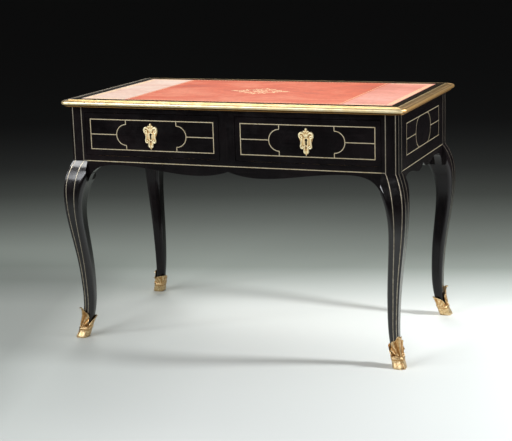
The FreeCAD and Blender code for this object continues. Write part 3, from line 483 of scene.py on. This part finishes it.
ornament = bmesh.new()
for route, widths, rise in (
    (STRAP, STRAP_WIDTHS, 0.18),
    (LONG_SCROLL, SCROLL_WIDTHS, 0.15),
    (SHORT_SCROLL, SCROLL_WIDTHS, 0.165),
    (TENDRIL, TENDRIL_WIDTHS, 0.135),
):
    lay_flat(add_rod(ornament, [(x, y, 0.0) for x, y in route], widths, sides=1), rise)
leaves = bmesh.new()
for leaf in ORNAMENT_LEAVES:
    stamp_leaf(leaves, *leaf)
for x, y in ORNAMENT_DOTS:
    stamp_leaf(leaves, x, y, DOT_ROUND, DOT_ROUND, 0.0, 8)
for shape in (ornament, leaves):
    fold_over(shape, Matrix.Diagonal((-1, 1, 1, 1)))
    fold_over(shape, Matrix.Diagonal((1, -1, 1, 1)))
stamp_leaf(leaves, 0, 0, HEART_ROUND, HEART_ROUND, 0.0, 14)
bmesh.ops.remove_doubles(leaves, verts=list(leaves.verts), dist=0.05)
press_down(leaves)
bmesh.ops.scale(ornament, verts=list(ornament.verts), vec=(MM, MM, MM))
keep_piece(ornament, "tooled_ornament_scrolls", tooling_gold, "carcase")
keep_piece(leaves, "tooled_ornament_leaves", tooling_gold, "carcase")

# Edge moulding: four lengths of cast and gilded bronze round the edge of the top.
# They are fixed to the border, and the corners are swept round and mitred.
# The gilding is brown in the hollows as patina; the underside and the side and back lengths are darkened
# with painted shade, and the lip at the left carries a painted grey reflection.

MOULDING_FOOT = 0.730
MOULDING_TOP = 0.750
GILT_TONES = [(0.28, (0.80, 0.62, 0.32)), (0.5, (0.91, 0.77, 0.48)), (0.75, (0.96, 0.88, 0.67))]
# Colour bands by height in the section: brown bands in the hollows stand for patina, the dark bands at
# the foot are painted shade on the underside, and the darker side tones are painted shade.
FRONT_PATINA_AND_SHADE = [
    (0.0, (0.30, 0.20, 0.11)),
    (0.08, (0.22, 0.14, 0.07)),
    (0.12, (0.05, 0.03, 0.012)),
    (0.22, (0.12, 0.07, 0.03)),
    (0.31, (0.75, 0.62, 0.42)),
    (0.38, (1.0, 1.0, 1.0)),
    (0.83, (1.0, 1.0, 1.0)),
    (0.865, (0.60, 0.45, 0.25)),
    (0.89, (0.85, 0.74, 0.54)),
    (0.93, (0.92, 0.87, 0.78)),
]
SIDE_FOOT_PATINA_AND_SHADE = [
    (0.0, (0.50, 0.34, 0.21)),
    (0.09, (0.42, 0.27, 0.15)),
    (0.12, (0.18, 0.10, 0.045)),
    (0.20, (0.42, 0.27, 0.165)),
    (0.28, (0.44, 0.29, 0.18)),
    (0.37, (0.34, 0.20, 0.09)),
    (0.50, (0.78, 0.56, 0.34)),
]
SIDE_LIP_PATINA_AND_SHADE = [
    (0.80, (0.70, 0.56, 0.40)),
    (0.865, (0.32, 0.22, 0.11)),
    (0.90, (0.32, 0.25, 0.17)),
    (0.94, (0.38, 0.32, 0.24)),
]
# The grey, bluish lip at the left is a painted reflection.
LEFT_LIP_PAINTED_REFLECTION = [
    (0.80, (0.24, 0.23, 0.24)),
    (0.865, (0.10, 0.09, 0.09)),
    (0.90, (0.11, 0.12, 0.15)),
    (0.94, (0.14, 0.15, 0.19)),
]


def gilt_bronze(name, wear_and_painted_light=None):
    material, tree, shader = new_material(name)
    rubbing = stretched_noise(tree, EVEN, scale=38.0, detail=6.0, rough=0.65)
    chasing = stretched_noise(tree, EVEN, scale=300.0, detail=2.0)
    gold = tone_ramp(tree, rubbing, GILT_TONES)
    shine = tone_ramp(tree, rubbing, [(0.3, 0.52), (0.7, 0.42)])
    if wear_and_painted_light:
        # The height bands multiply the gold: patina in the hollows, with painted shade and painted
        # reflection.
        level = along_axis(tree, "Z", MOULDING_FOOT, MOULDING_TOP)
        gold = mixed(tree, "MULTIPLY", 1.0, gold, tone_ramp(tree, level, wear_and_painted_light))
    tree.links.new(gold, shader.inputs["Base Color"])
    tree.links.new(shine, shader.inputs["Roughness"])
    shader.inputs["Metallic"].default_value = 1.0
    raised(tree, shader, chasing, strength=0.03, depth=0.0002)
    return material


dress(gilt_bronze("front_gilt_painted_shade", FRONT_PATINA_AND_SHADE), "moulding_front")
dress(gilt_bronze("side_gilt_painted_shade", SIDE_FOOT_PATINA_AND_SHADE + SIDE_LIP_PATINA_AND_SHADE), "moulding_right", "moulding_back")
dress(gilt_bronze("left_gilt_painted_reflection", SIDE_FOOT_PATINA_AND_SHADE + LEFT_LIP_PAINTED_REFLECTION), "moulding_left")

# Shoes: four cast bronze shoes that slip over the feet of the legs.
# A tall leaf climbs the outer corner and a low one the inner, above a coronet and a cloven hoof.
# They are chased and gilded, burnished on the ridges, with painted shade in the hollows.

CORNERS = {"front_left": (-1, -1), "front_right": (1, -1), "back_left": (-1, 1), "back_right": (1, 1)}
ANKLE_X = 509.0
ANKLE_Y = 269.0
ANKLE_LEVEL = 74.0
CUFF_ROOT = 29.5
CUFF_FACE = 5.0
CUFF_FACE_FLARE = 5.4
CUFF_BACK = -31.0
CUFF_BACK_FLARE = 13.0
CUFF_RADIUS = 21.0
CUFF_WALL = 1.5
CUFF_SIDES = 200
CUFF_RINGS = 36
CUFF_EDGE = [
    (0, 97), (10, 96), (15, 91), (21, 83), (30, 77), (48, 76), (60, 73), (67, 64), (72, 48),
    (77, 32), (84, 34), (93, 45), (105, 54), (120, 59), (145, 62), (165, 63), (180, 64),
]
OUTER_LEAF_SPREAD = radians(24)
INNER_LEAF_SPREAD = radians(27)
LEAF_VEIN = radians(6.5)
TIP_ROLL = 6.5
HOOF_LEVELS = (30.0, 28.6, 25.5, 20.5, 15.0, 9.5, 4.5, 1.6, 0.0)
HOOF_SIDES = 80
HOOF_SQUARE = 3.4
HOOF_LIP = 28.2
HOOF_GROOVE = 25.9
HOOF_TOE = 16.5
HOOF_TOE_FLARE = 9.0
HOOF_HEEL = 21.0
HOOF_HEEL_TAPER = 8.5
HOOF_RING_STEP = 4.6
CORONET_BEADS = 26
CORONET_RADIUS = 18.0
CORONET_MIDDLE = -2.9
CORONET_LEVEL = 30.2
CORONET_THICKNESS = 1.7
BEAD_RADIUS = 2.3
BEAD_RISE = 2.9
BEAD_DRAWN_IN = 0.97
BEAD_SHIFT = -0.1
BRIGHT_RIDGE = 0.85
BEAD_RIDGE = 0.62
VOLUTE_TURN = radians(27)
VOLUTE_LEVEL = 39.0
VOLUTE_LIFT = 3.4
VOLUTE_SIZE = 5.2
VOLUTE_TURNS = 1.25
VOLUTE_STEPS = 14
# Where the ridge attribute is low the gold darkens to brown: painted shade in the hollows.
HOLLOW_SHADE_TONES = [(0.03, (0.20, 0.105, 0.04)), (0.35, (0.72, 0.53, 0.34)), (0.7, (1.0, 1.0, 1.0))]


def chased_gilt(name, deep, plain, bright, metal, dull, burnished):
    material, tree, shader = new_material(name)
    depth = tree.nodes.new("ShaderNodeAttribute")
    depth.attribute_name = "ridge"
    rubbing = stretched_noise(tree, EVEN, scale=150.0, detail=5.0, rough=0.65)
    chasing = stretched_noise(tree, EVEN, scale=900.0, detail=3.0)
    gold = tone_ramp(tree, rubbing, [(0.3, deep), (0.5, plain), (0.72, bright)])
    # Painted shade: the ridge attribute darkens the gold in the hollows.
    hollow_shade = tone_ramp(tree, depth.outputs["Fac"], HOLLOW_SHADE_TONES)
    polish = tone_ramp(tree, depth.outputs["Fac"], [(0.1, dull), (0.8, burnished)])
    tree.links.new(mixed(tree, "MULTIPLY", 1.0, gold, hollow_shade), shader.inputs["Base Color"])
    tree.links.new(polish, shader.inputs["Roughness"])
    shader.inputs["Metallic"].default_value = metal
    raised(tree, shader, chasing, strength=0.18, depth=0.0003)
    return material


def clamped(value):
    return max(0.0, min(1.0, value))


def eased(value, low, high):
    share = clamped((value - low) / (high - low))
    return share * share * (3 - 2 * share)


def bell(value, centre, width):
    return exp(-(((value - centre) / width) ** 2))


def squared(angle, power):
    return (abs(cos(angle)) ** power + abs(sin(angle)) ** power) ** (-1 / power)


def cuff_edge(away):
    turn = abs(away) * 180 / pi
    for (near, start), (far, end) in zip(CUFF_EDGE, CUFF_EDGE[1:]):
        if turn <= far:
            break
    scallop = 2.4 * abs(sin(pi * turn / 12)) * eased(turn, 12, 20) * (1 - eased(turn, 62, 70))
    return start + (end - start) * (turn - near) / (far - near) + scallop


def cuff_point(away, level, lift):
    face = CUFF_FACE + CUFF_FACE_FLARE * eased(ANKLE_LEVEL - level, 0.0, 40.0)
    back = CUFF_BACK + CUFF_BACK_FLARE * eased(ANKLE_LEVEL - level, 0.0, 50.0)
    angle = away + pi / 4
    sharp = 6.0 - 3.2 * eased(abs(away), radians(30), radians(75))
    radius = (face - back) / 2 * squared(angle, sharp) + lift
    centre = (face + back) / 2
    return centre + radius * cos(angle), centre + radius * sin(angle), level


def leaf_relief(fan, spread):
    off = abs(fan)
    far = 1.9 * spread
    wide = radians(8)
    lobes = bell(fan, 0.0, wide) + bell(off, spread, wide) + bell(off, far, wide)
    ribs = bell(fan, 0.0, radians(2.2)) + 0.7 * bell(off, spread, radians(2))
    return lobes, ribs + 0.6 * bell(off, far, radians(2))


def chase_cuff(vert, ridge, away, rise):
    level = CUFF_ROOT + (cuff_edge(away) - CUFF_ROOT) * rise
    fan = atan2(CUFF_RADIUS * away, level - CUFF_ROOT + 4.0)
    lobes, ribs = leaf_relief(fan, OUTER_LEAF_SPREAD)
    veins = cos(2 * pi * fan / LEAF_VEIN)
    inner_fan = atan2(CUFF_RADIUS * (abs(away) - pi), level - CUFF_ROOT + 8.0)
    inner_lobes, inner_ribs = leaf_relief(inner_fan, INNER_LEAF_SPREAD)
    outer = 1 - eased(abs(away), radians(70), radians(82))
    inner = 1 - outer
    lip = eased(rise, 0.84, 1.0) ** 2
    tip = lip * bell(away, 0.0, radians(13))
    height = outer * ((2.4 * lobes - 0.8) * (0.3 + 0.7 * rise) + ribs + 0.35 * veins * rise)
    height += inner * (1.1 * inner_lobes * (0.3 + 0.7 * rise) + 0.6 * inner_ribs - 0.4)
    height += inner * 0.9 * bell(rise, 0.93, 0.06) + 0.5 * lip + TIP_ROLL * tip
    vert.co = cuff_point(away, level - 2.4 * tip, 1.0 + max(height, -0.4))
    # This value is the painted shade mask, low between lobes and ribs; it also sets the polish.
    shine = outer * (0.58 * lobes * (0.4 + 0.6 * rise) + 0.35 * ribs + 0.12 * veins) + 0.4 * lip
    shine += inner * (0.45 * inner_lobes + 0.2 * inner_ribs + 0.25)
    vert[ridge] = clamped(0.05 + shine)


def model_cuff(shape, ridge):
    sheet = bmesh.ops.create_grid(shape, x_segments=CUFF_SIDES, y_segments=CUFF_RINGS, size=1.0)
    for vert in sheet["verts"]:
        turn = pi * abs(vert.co.x) ** 1.6
        chase_cuff(vert, ridge, turn if vert.co.x > 0 else -turn, (vert.co.y + 1) / 2)
    bmesh.ops.remove_doubles(shape, verts=list(shape.verts), dist=0.01)
    bmesh.ops.recalc_face_normals(shape, faces=list(shape.faces))
    bmesh.ops.solidify(shape, geom=list(shape.faces), thickness=CUFF_WALL)


def hoof_radius(angle, level):
    drop = (HOOF_LEVELS[0] - level) / HOOF_LEVELS[0]
    toe = HOOF_TOE + HOOF_TOE_FLARE * drop ** 1.25
    heel = HOOF_HEEL - HOOF_HEEL_TAPER * drop
    off_corner = abs((angle - pi / 4 + pi) % (2 * pi) - pi)
    cleft = (0.9 + 3.6 * drop) * bell(off_corner, 0.0, radians(5))
    toes = 1.4 * bell(off_corner, radians(20), radians(12)) * drop
    ringed = 0.28 * cos(2 * pi * level / HOOF_RING_STEP) * eased(drop, 0.1, 0.4)
    lip = 1.4 * bell(level, HOOF_LIP, 1.5)
    under = -1.2 * eased(1.6 - level, 0.0, 1.6)
    radius = (toe + heel) / 2 * squared(angle, HOOF_SQUARE) - cleft + toes + ringed + lip + under
    return radius, (toe - heel) / 2, cleft


def model_hoof(shape, ridge):
    ring = bmesh.ops.create_circle(shape, cap_ends=True, segments=HOOF_SIDES, radius=1.0)["verts"]
    edges = list({edge for vert in ring for edge in vert.link_edges})
    angles = [atan2(vert.co.y, vert.co.x) for vert in ring]
    for step, level in enumerate(HOOF_LEVELS):
        if step:
            made = bmesh.ops.extrude_edge_only(shape, edges=edges)["geom"]
            ring = [item for item in made if isinstance(item, bmesh.types.BMVert)]
            edges = [item for item in made if isinstance(item, bmesh.types.BMEdge)]
            angles = [atan2(vert.co.y - centre, vert.co.x - centre) for vert in ring]
        for vert, angle in zip(ring, angles):
            radius, middle, cleft = hoof_radius(angle, level)
            vert.co = (middle + radius * cos(angle), middle + radius * sin(angle), level)
            # The groove under the lip and the cleft get lower ridge values, which paint shade into them.
            band = 0.2 * bell(level, HOOF_LIP, 2.0) - 0.5 * bell(level, HOOF_GROOVE, 1.2)
            vert[ridge] = clamped(0.75 - 0.10 * cleft + band)
        centre = middle
    bmesh.ops.contextual_create(shape, geom=edges)


def mark_ridge(verts, ridge, value):
    for vert in verts:
        vert[ridge] = value


def model_coronet(shape, ridge):
    coronet = []
    for step in range(CORONET_BEADS):
        angle = 2 * pi * step / CORONET_BEADS
        radius = CORONET_RADIUS * squared(angle, HOOF_SQUARE)
        x = CORONET_MIDDLE + radius * cos(angle)
        y = CORONET_MIDDLE + radius * sin(angle)
        coronet.append((x, y, CORONET_LEVEL))
    band = add_rod(shape, coronet, [CORONET_THICKNESS] * CORONET_BEADS, closed=True)
    mark_ridge(band, ridge, BRIGHT_RIDGE)
    for x, y, level in coronet:
        bead_x = x * BEAD_DRAWN_IN + BEAD_SHIFT
        bead_y = y * BEAD_DRAWN_IN + BEAD_SHIFT
        spot = Matrix.Translation((bead_x, bead_y, level + BEAD_RISE)) @ Matrix.Diagonal((1, 1, 1.25, 1))
        bead = bmesh.ops.create_icosphere(shape, subdivisions=2, radius=BEAD_RADIUS, matrix=spot)
        mark_ridge(bead["verts"], ridge, BEAD_RIDGE)


def model_volute(shape, ridge, side):
    points = []
    widths = []
    for step in range(VOLUTE_STEPS + 1):
        share = step / VOLUTE_STEPS
        angle = -pi / 2 + VOLUTE_TURNS * side * 2 * pi * share
        radius = VOLUTE_SIZE * (1 - 0.78 * share)
        away = VOLUTE_TURN * side + radius * cos(angle) / CUFF_RADIUS
        points.append(cuff_point(away, VOLUTE_LEVEL + radius * sin(angle), VOLUTE_LIFT))
        widths.append(1.5 - 0.6 * step / (VOLUTE_STEPS + 1))
    mark_ridge(add_rod(shape, points, widths), ridge, BRIGHT_RIDGE)


shoe_gilt = chased_gilt(
    "shoe_gilt",
    deep=(0.40, 0.24, 0.10),
    plain=(0.68, 0.48, 0.25),
    bright=(0.92, 0.77, 0.50),
    metal=1.0,
    dull=0.55,
    burnished=0.34,
)
for corner, (way_x, way_y) in CORNERS.items():
    cuff = bmesh.new()
    model_cuff(cuff, cuff.verts.layers.float.new("ridge"))
    hoof = bmesh.new()
    hoof_ridge = hoof.verts.layers.float.new("ridge")
    model_hoof(hoof, hoof_ridge)
    model_coronet(hoof, hoof_ridge)
    for side in (-1, 1):
        model_volute(hoof, hoof_ridge, side)
    for shape, name, sharp in ((cuff, "shoe_cuff_", 70.0), (hoof, "shoe_hoof_", 60.0)):
        for vert in shape.verts:
            vert.co.x = MM * way_x * (ANKLE_X + vert.co.x)
            vert.co.y = MM * way_y * (ANKLE_Y + vert.co.y)
            vert.co.z = MM * vert.co.z
        bmesh.ops.recalc_face_normals(shape, faces=list(shape.faces))
        piece = keep_piece(shape, name + corner, shoe_gilt, "carcase", sharp)
        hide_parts("sabot_" + corner)

# Drawers: oak boxes dovetailed to black fronts, with the bottom let into a groove.
# The fronts have the grain lengthwise, and a pattern of brass string let in flush.
# A steel lock is let into the back of each front.

for side in ("left", "right"):
    dress(long_polish, side + "_drawer_front")
    dress(string_brass, side + "_drawer_stringing")
    dress(oak_deep, side + "_drawer_outer_side", side + "_drawer_inner_side")
    dress(oak_long, side + "_drawer_back", side + "_drawer_bottom")
    dress(bright_steel, side + "_lock_case", side + "_lock_bolt")

# Escutcheons: a cast and gilded bronze cartouche round each keyhole, held by two pins.
# Paired scrolls frame the keyhole under a small leafy crest, with a pendant below.
# They are chased by hand and burnished on the scrolls, with painted shade on the ground between.

KEYHOLE_X = 244.75
KEYHOLE_Z = 646.5
PLATE_Y = -273.0
PLATE_FIT = 0.92
PLATE_HALF_WALL = 0.5
PLATE_ROUNDING = 0.5
PLATE_HALF = [
    (0, 41), (3.2, 38.5), (4, 33), (9, 28.5), (16, 29.5), (22.5, 26), (24.5, 18),
    (23.5, 11), (20.5, 5), (18.5, -1), (17.5, -7), (18, -12), (18, -17), (15, -22.5),
    (9, -25), (7.5, -30), (7.5, -34), (5, -38.5), (2, -40.5), (0, -45),
]
KEYHOLE_ROUND = 4.8
KEYHOLE_RISE = 4.0
KEYHOLE_HALF = 3.1
KEYHOLE_DROP = 12.0
KEYHOLE_STEPS = 12
UPPER_SCROLL = [
    (3, 13), (6, 21), (12, 27), (19, 26.5), (23, 19),
    (21, 10.5), (15, 8.5), (11.5, 13.5), (14.5, 18.5), (18, 16),
]
LOWER_SCROLL = [
    (13.5, 9), (16, 3), (15.5, -4), (16, -10), (18, -15),
    (16, -21.5), (11, -22.5), (8.5, -18), (10.5, -14), (13, -16),
]
PENDANT_SCROLL = [(4.8, -14), (4.6, -20), (6.2, -26), (6.8, -33), (4.2, -38), (1.8, -34), (3.4, -30.5)]
CREST_LEAF = [(1.5, 26), (3.5, 29), (6.5, 32.5), (9, 31), (7.5, 28)]
UPPER_WIDTHS = (1.4, 2.1, 2.9, 3.5, 3.5, 3.0, 2.4, 1.8, 1.6, 2.2)
LOWER_WIDTHS = (1.4, 2.2, 2.4, 2.6, 2.9, 2.9, 2.5, 2.0, 1.6, 2.0)
PENDANT_WIDTHS = (1.4, 2.0, 2.5, 2.9, 2.7, 2.0, 1.8)
CREST_WIDTHS = (1.0, 1.7, 2.1, 1.8, 1.0)
RIM_HALF_WIDTH = 7.4
RIM_HALF_HEIGHT = 13.4
RIM_STEPS = 16
RIM_THICKNESS = 1.15
RIM_LIFT = 2.4
RIM_MIDDLE = -2.0
PLATE_BEADS = (
    ((0, -2.6, 37.6), 3.4),
    ((0, -2.2, 32.0), 2.4),
    ((0, -2.0, -43.0), 1.7),
    ((0, -2.2, 17.5), 2.2),
)
SHELL_RIB_STEPS = (0, 4, 8, 11.5)
SHELL_RIB_WIDTHS = (0.7, 1.1, 1.5, 1.1)
SHELL_RIB_TURN = radians(17)
SHELL_ROOT = 13.0


def cast_plate():
    route = bpy.data.curves.new("plate_outline", "CURVE")
    route.dimensions = "2D"
    route.fill_mode = "BOTH"
    route.extrude = PLATE_HALF_WALL
    route.bevel_depth = PLATE_ROUNDING
    route.bevel_resolution = 2
    route.resolution_u = 4
    whole = PLATE_HALF + [(-x, z) for x, z in PLATE_HALF[-2:0:-1]]
    keyhole = []
    for step in range(KEYHOLE_STEPS + 1):
        angle = radians(-50 + 280 * step / KEYHOLE_STEPS)
        keyhole.append((KEYHOLE_ROUND * cos(angle), KEYHOLE_RISE + KEYHOLE_ROUND * sin(angle)))
    keyhole += [(-KEYHOLE_HALF, -KEYHOLE_DROP), (KEYHOLE_HALF, -KEYHOLE_DROP)]
    for outline, order in ((whole, 3), (keyhole, 2)):
        line = route.splines.new("NURBS")
        line.points.add(len(outline) - 1)
        for spot, (x, z) in zip(line.points, outline):
            spot.co = (x, z, 0.0, 1.0)
        line.order_u = order
        line.use_cyclic_u = True
    return mesh_of(route)


def model_scrolls():
    half = bmesh.new()
    for route, widths, lift in (
        (UPPER_SCROLL, UPPER_WIDTHS, 2.8),
        (LOWER_SCROLL, LOWER_WIDTHS, 2.6),
        (PENDANT_SCROLL, PENDANT_WIDTHS, 2.4),
        (CREST_LEAF, CREST_WIDTHS, 2.4),
    ):
        add_rod(half, [(x, -lift, z) for x, z in route], widths, sides=3)
    bmesh.ops.recalc_face_normals(half, faces=list(half.faces))
    fold_over(half, Matrix.Diagonal((-1, 1, 1, 1)))
    scrolls = bpy.data.meshes.new("escutcheon_scrolls")
    half.to_mesh(scrolls)
    half.free()
    return scrolls


# The ground between the scrolls and the parts nearest the plate get low values, which paint shade there
# through the ridge attribute.
def chased_depth(x, y, z):
    off = abs(x)
    ground = bell(hypot(off - 16.5, z - 15.0), 0.0, 5.5)
    ground += bell(hypot(off - 14.5, z + 17.0), 0.0, 4.5)
    ground += bell(hypot(off - 11.0, z + 4.0), 0.0, 3.0)
    return clamped(0.31 + (-y - 2.1) / 2.2 - 0.7 * ground)


def model_escutcheon():
    shape = bmesh.new()
    add_mesh(shape, cast_plate())
    for vert in shape.verts:
        vert.co = (vert.co.x, vert.co.z, vert.co.y)
        vert.co.y = -1.0 + vert.co.y - 0.8 * bell(hypot(vert.co.x / 14, vert.co.z / 22), 0.0, 0.8)
    add_mesh(shape, model_scrolls())
    rim = []
    for step in range(RIM_STEPS):
        angle = 2 * pi * step / RIM_STEPS
        rim.append((RIM_HALF_WIDTH * cos(angle), -RIM_LIFT, RIM_MIDDLE + RIM_HALF_HEIGHT * sin(angle)))
    add_rod(shape, rim, [RIM_THICKNESS] * RIM_STEPS, closed=True)
    for place, radius in PLATE_BEADS:
        bead = Matrix.Translation(place) @ Matrix.Diagonal((1, 0.75, 1, 1))
        bmesh.ops.create_icosphere(shape, subdivisions=3, radius=radius, matrix=bead)
    for rib in range(-2, 3):
        fan = SHELL_RIB_TURN * rib
        points = []
        for step in SHELL_RIB_STEPS:
            points.append((step * sin(fan), -2.0 - 0.5 * sin(step / 4), SHELL_ROOT + step * cos(fan)))
        add_rod(shape, points, SHELL_RIB_WIDTHS)
    return shape


pin_gilt = gilt_bronze("pin_gilt")
lock_gilt = chased_gilt(
    "lock_gilt",
    deep=(0.84, 0.66, 0.34),
    plain=(0.98, 0.86, 0.53),
    bright=(1.0, 0.94, 0.70),
    metal=0.25,
    dull=0.50,
    burnished=0.28,
)
for side, way in (("left", -1), ("right", 1)):
    dress(pin_gilt, side + "_escutcheon", side + "_escutcheon_pins")
    shape = model_escutcheon()
    ridge = shape.verts.layers.float.new("ridge")
    for vert in shape.verts:
        vert[ridge] = chased_depth(*vert.co)
        x = KEYHOLE_X * way + PLATE_FIT * vert.co.x
        z = KEYHOLE_Z + PLATE_FIT * vert.co.z
        vert.co = (MM * x, MM * (PLATE_Y + vert.co.y), MM * z)
    bmesh.ops.recalc_face_normals(shape, faces=list(shape.faces))
    piece = keep_piece(shape, side + "_cartouche", lock_gilt, "drawer_" + side, 60.0)
    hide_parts(side + "_escutcheon")

# Studio: a pale paper floor with a painted pool of light round the desk that falls away to painted dark,
# and soft boxes round the desk.
# The floor is also painted dark towards the camera, where the polish mirrors it, and painted in shade on
# the left.
# The camera stands where the photograph was taken from.

FLOOR_REACH = 30.0
FLOOR_TURN = radians(-14.5)
FLOOR_NEAR = -3.0
FLOOR_FAR = 5.0
FLOOR_LEFT = -1.0
FLOOR_RIGHT = 1.0
# Painted light on the floor: a pale pool round the desk, painted dark behind it and towards the camera.
FLOOR_PAINTED_LIGHT_TONES = [
    (0.05, (0.09, 0.09, 0.09)),
    (0.17, (0.14, 0.14, 0.14)),
    (0.20, (0.26, 0.265, 0.26)),
    (0.235, (0.69, 0.72, 0.71)),
    (0.40, (0.71, 0.745, 0.725)),
    (0.432, (0.51, 0.55, 0.525)),
    (0.465, (0.265, 0.297, 0.272)),
    (0.50, (0.185, 0.208, 0.189)),
    (0.56, (0.112, 0.126, 0.114)),
    (0.63, (0.056, 0.063, 0.057)),
    (0.72, (0.030, 0.033, 0.031)),
    (0.92, (0.0145, 0.0155, 0.0155)),
]
# Painted shade: the near floor darkens towards the left.
SIDE_PAINTED_SHADE_TONES = [
    (0.0, (0.42, 0.43, 0.42)),
    (0.12, (0.46, 0.47, 0.46)),
    (0.21, (0.68, 0.69, 0.68)),
    (0.45, (0.88, 0.88, 0.88)),
    (0.75, (1.0, 1.0, 1.0)),
]
floor_mesh = bpy.data.meshes.new("studio_floor")
floor_shape = bmesh.new()
bmesh.ops.create_grid(floor_shape, x_segments=4, y_segments=4, size=FLOOR_REACH)
floor_shape.to_mesh(floor_mesh)
floor_shape.free()
floor = bpy.data.objects.new("studio_floor", floor_mesh)
bpy.context.scene.collection.objects.link(floor)
paper, paper_tree, paper_shader = new_material("studio_paper")
backwards = along_axis(paper_tree, "Y", FLOOR_NEAR, FLOOR_FAR, turn=FLOOR_TURN)
sideways = along_axis(paper_tree, "X", FLOOR_LEFT, FLOOR_RIGHT, turn=FLOOR_TURN)
depth_painted_light = tone_ramp(paper_tree, backwards, FLOOR_PAINTED_LIGHT_TONES)
side_painted_shade = tone_ramp(paper_tree, sideways, SIDE_PAINTED_SHADE_TONES)
near = tone_ramp(paper_tree, backwards, [(0.44, 1.0), (0.50, 0.0)])
paper_painted_light = mixed(paper_tree, "MULTIPLY", near, depth_painted_light, side_painted_shade)
paper_tree.links.new(paper_painted_light, paper_shader.inputs["Base Color"])
paper_shader.inputs["Roughness"].default_value = 0.75
paper_shader.inputs["Specular IOR Level"].default_value = 0.2
floor_mesh.materials.append(paper)


def soft_box(name, place, aim, width, height, power, tint):
    lamp = bpy.data.lights.new(name, "AREA")
    lamp.shape = "RECTANGLE"
    lamp.size = width
    lamp.size_y = height
    lamp.energy = power
    lamp.color = tint
    holder = bpy.data.objects.new(name, lamp)
    holder.location = place
    holder.rotation_mode = "QUATERNION"
    holder.rotation_quaternion = (Vector(aim) - Vector(place)).to_track_quat("-Z", "Y")
    bpy.context.scene.collection.objects.link(holder)


soft_box("back_box", (-0.8, 1.7, 2.6), (0.0, -0.1, 0.4), 1.6, 1.0, 44.0, (1.0, 0.99, 0.97))
soft_box("front_box", (-1.75, -2.6, 2.5), (-0.1, -0.1, 0.5), 2.0, 0.6, 45.0, (0.98, 0.98, 0.98))
soft_box("front_fill_box", (0.9, -3.3, 1.6), (0.0, 0.0, 0.6), 0.8, 0.5, 23.0, (1.0, 0.98, 0.96))
soft_box("low_front_box", (-1.6, -3.4, 1.55), (0.0, 0.0, 0.5), 1.4, 0.9, 34.0, (0.95, 0.97, 1.0))
soft_box("right_box", (2.4, 0.1, 1.6), (0.1, 0.0, 0.2), 0.3, 0.4, 70.0, (0.98, 0.99, 1.0))
soft_box("left_box", (-2.3, -1.6, 1.4), (0.0, 0.0, 0.3), 0.3, 0.4, 14.0, (0.98, 0.99, 1.0))
soft_box("far_box", (0.7, 3.2, 1.6), (0.3, 0.0, 0.7), 0.9, 0.7, 1.4, (1.0, 0.86, 0.70))

ROOM_LIGHT = 0.22
ROOM_SEEN = 0.02
world = bpy.data.worlds.new("dark_studio")
bpy.context.scene.world = world
world.use_nodes = True
room = world.node_tree
rays = room.nodes.new("ShaderNodeLightPath")
mirrored = room.nodes.new("ShaderNodeMath")
mirrored.operation = "MAXIMUM"
room.links.new(rays.outputs["Is Camera Ray"], mirrored.inputs[0])
room.links.new(rays.outputs["Is Glossy Ray"], mirrored.inputs[1])
seen = room.nodes.new("ShaderNodeMath")
seen.operation = "MAXIMUM"
room.links.new(mirrored.outputs["Value"], seen.inputs[0])
room.links.new(rays.outputs["Is Transmission Ray"], seen.inputs[1])
room_tone = tone_ramp(room, seen.outputs["Value"], [(0.0, ROOM_LIGHT), (1.0, ROOM_SEEN)])
room.links.new(room_tone, room.nodes["Background"].inputs["Color"])

CAMERA_PLACE = (1.4852, -3.7087, 1.2488)
CAMERA_RIGHT = Vector((0.92804, 0.37129, -0.02988))
CAMERA_DOWN = Vector((0.05512, -0.21623, -0.97479))
CAMERA_AHEAD = Vector((-0.36839, 0.90299, -0.22114))
lens = bpy.data.cameras.new("photo_camera")
lens.sensor_fit = "HORIZONTAL"
lens.sensor_width = 36.0
lens.lens = 91.72
lens.clip_end = 200.0
camera = bpy.data.objects.new("photo_camera", lens)
camera_turn = Matrix((CAMERA_RIGHT, -CAMERA_DOWN, -CAMERA_AHEAD)).transposed()
camera.matrix_world = Matrix.Translation(CAMERA_PLACE) @ camera_turn.to_4x4()
bpy.context.scene.collection.objects.link(camera)
bpy.context.scene.camera = camera
bpy.context.scene.view_settings.view_transform = "Standard"

bpy.context.view_layer.update()
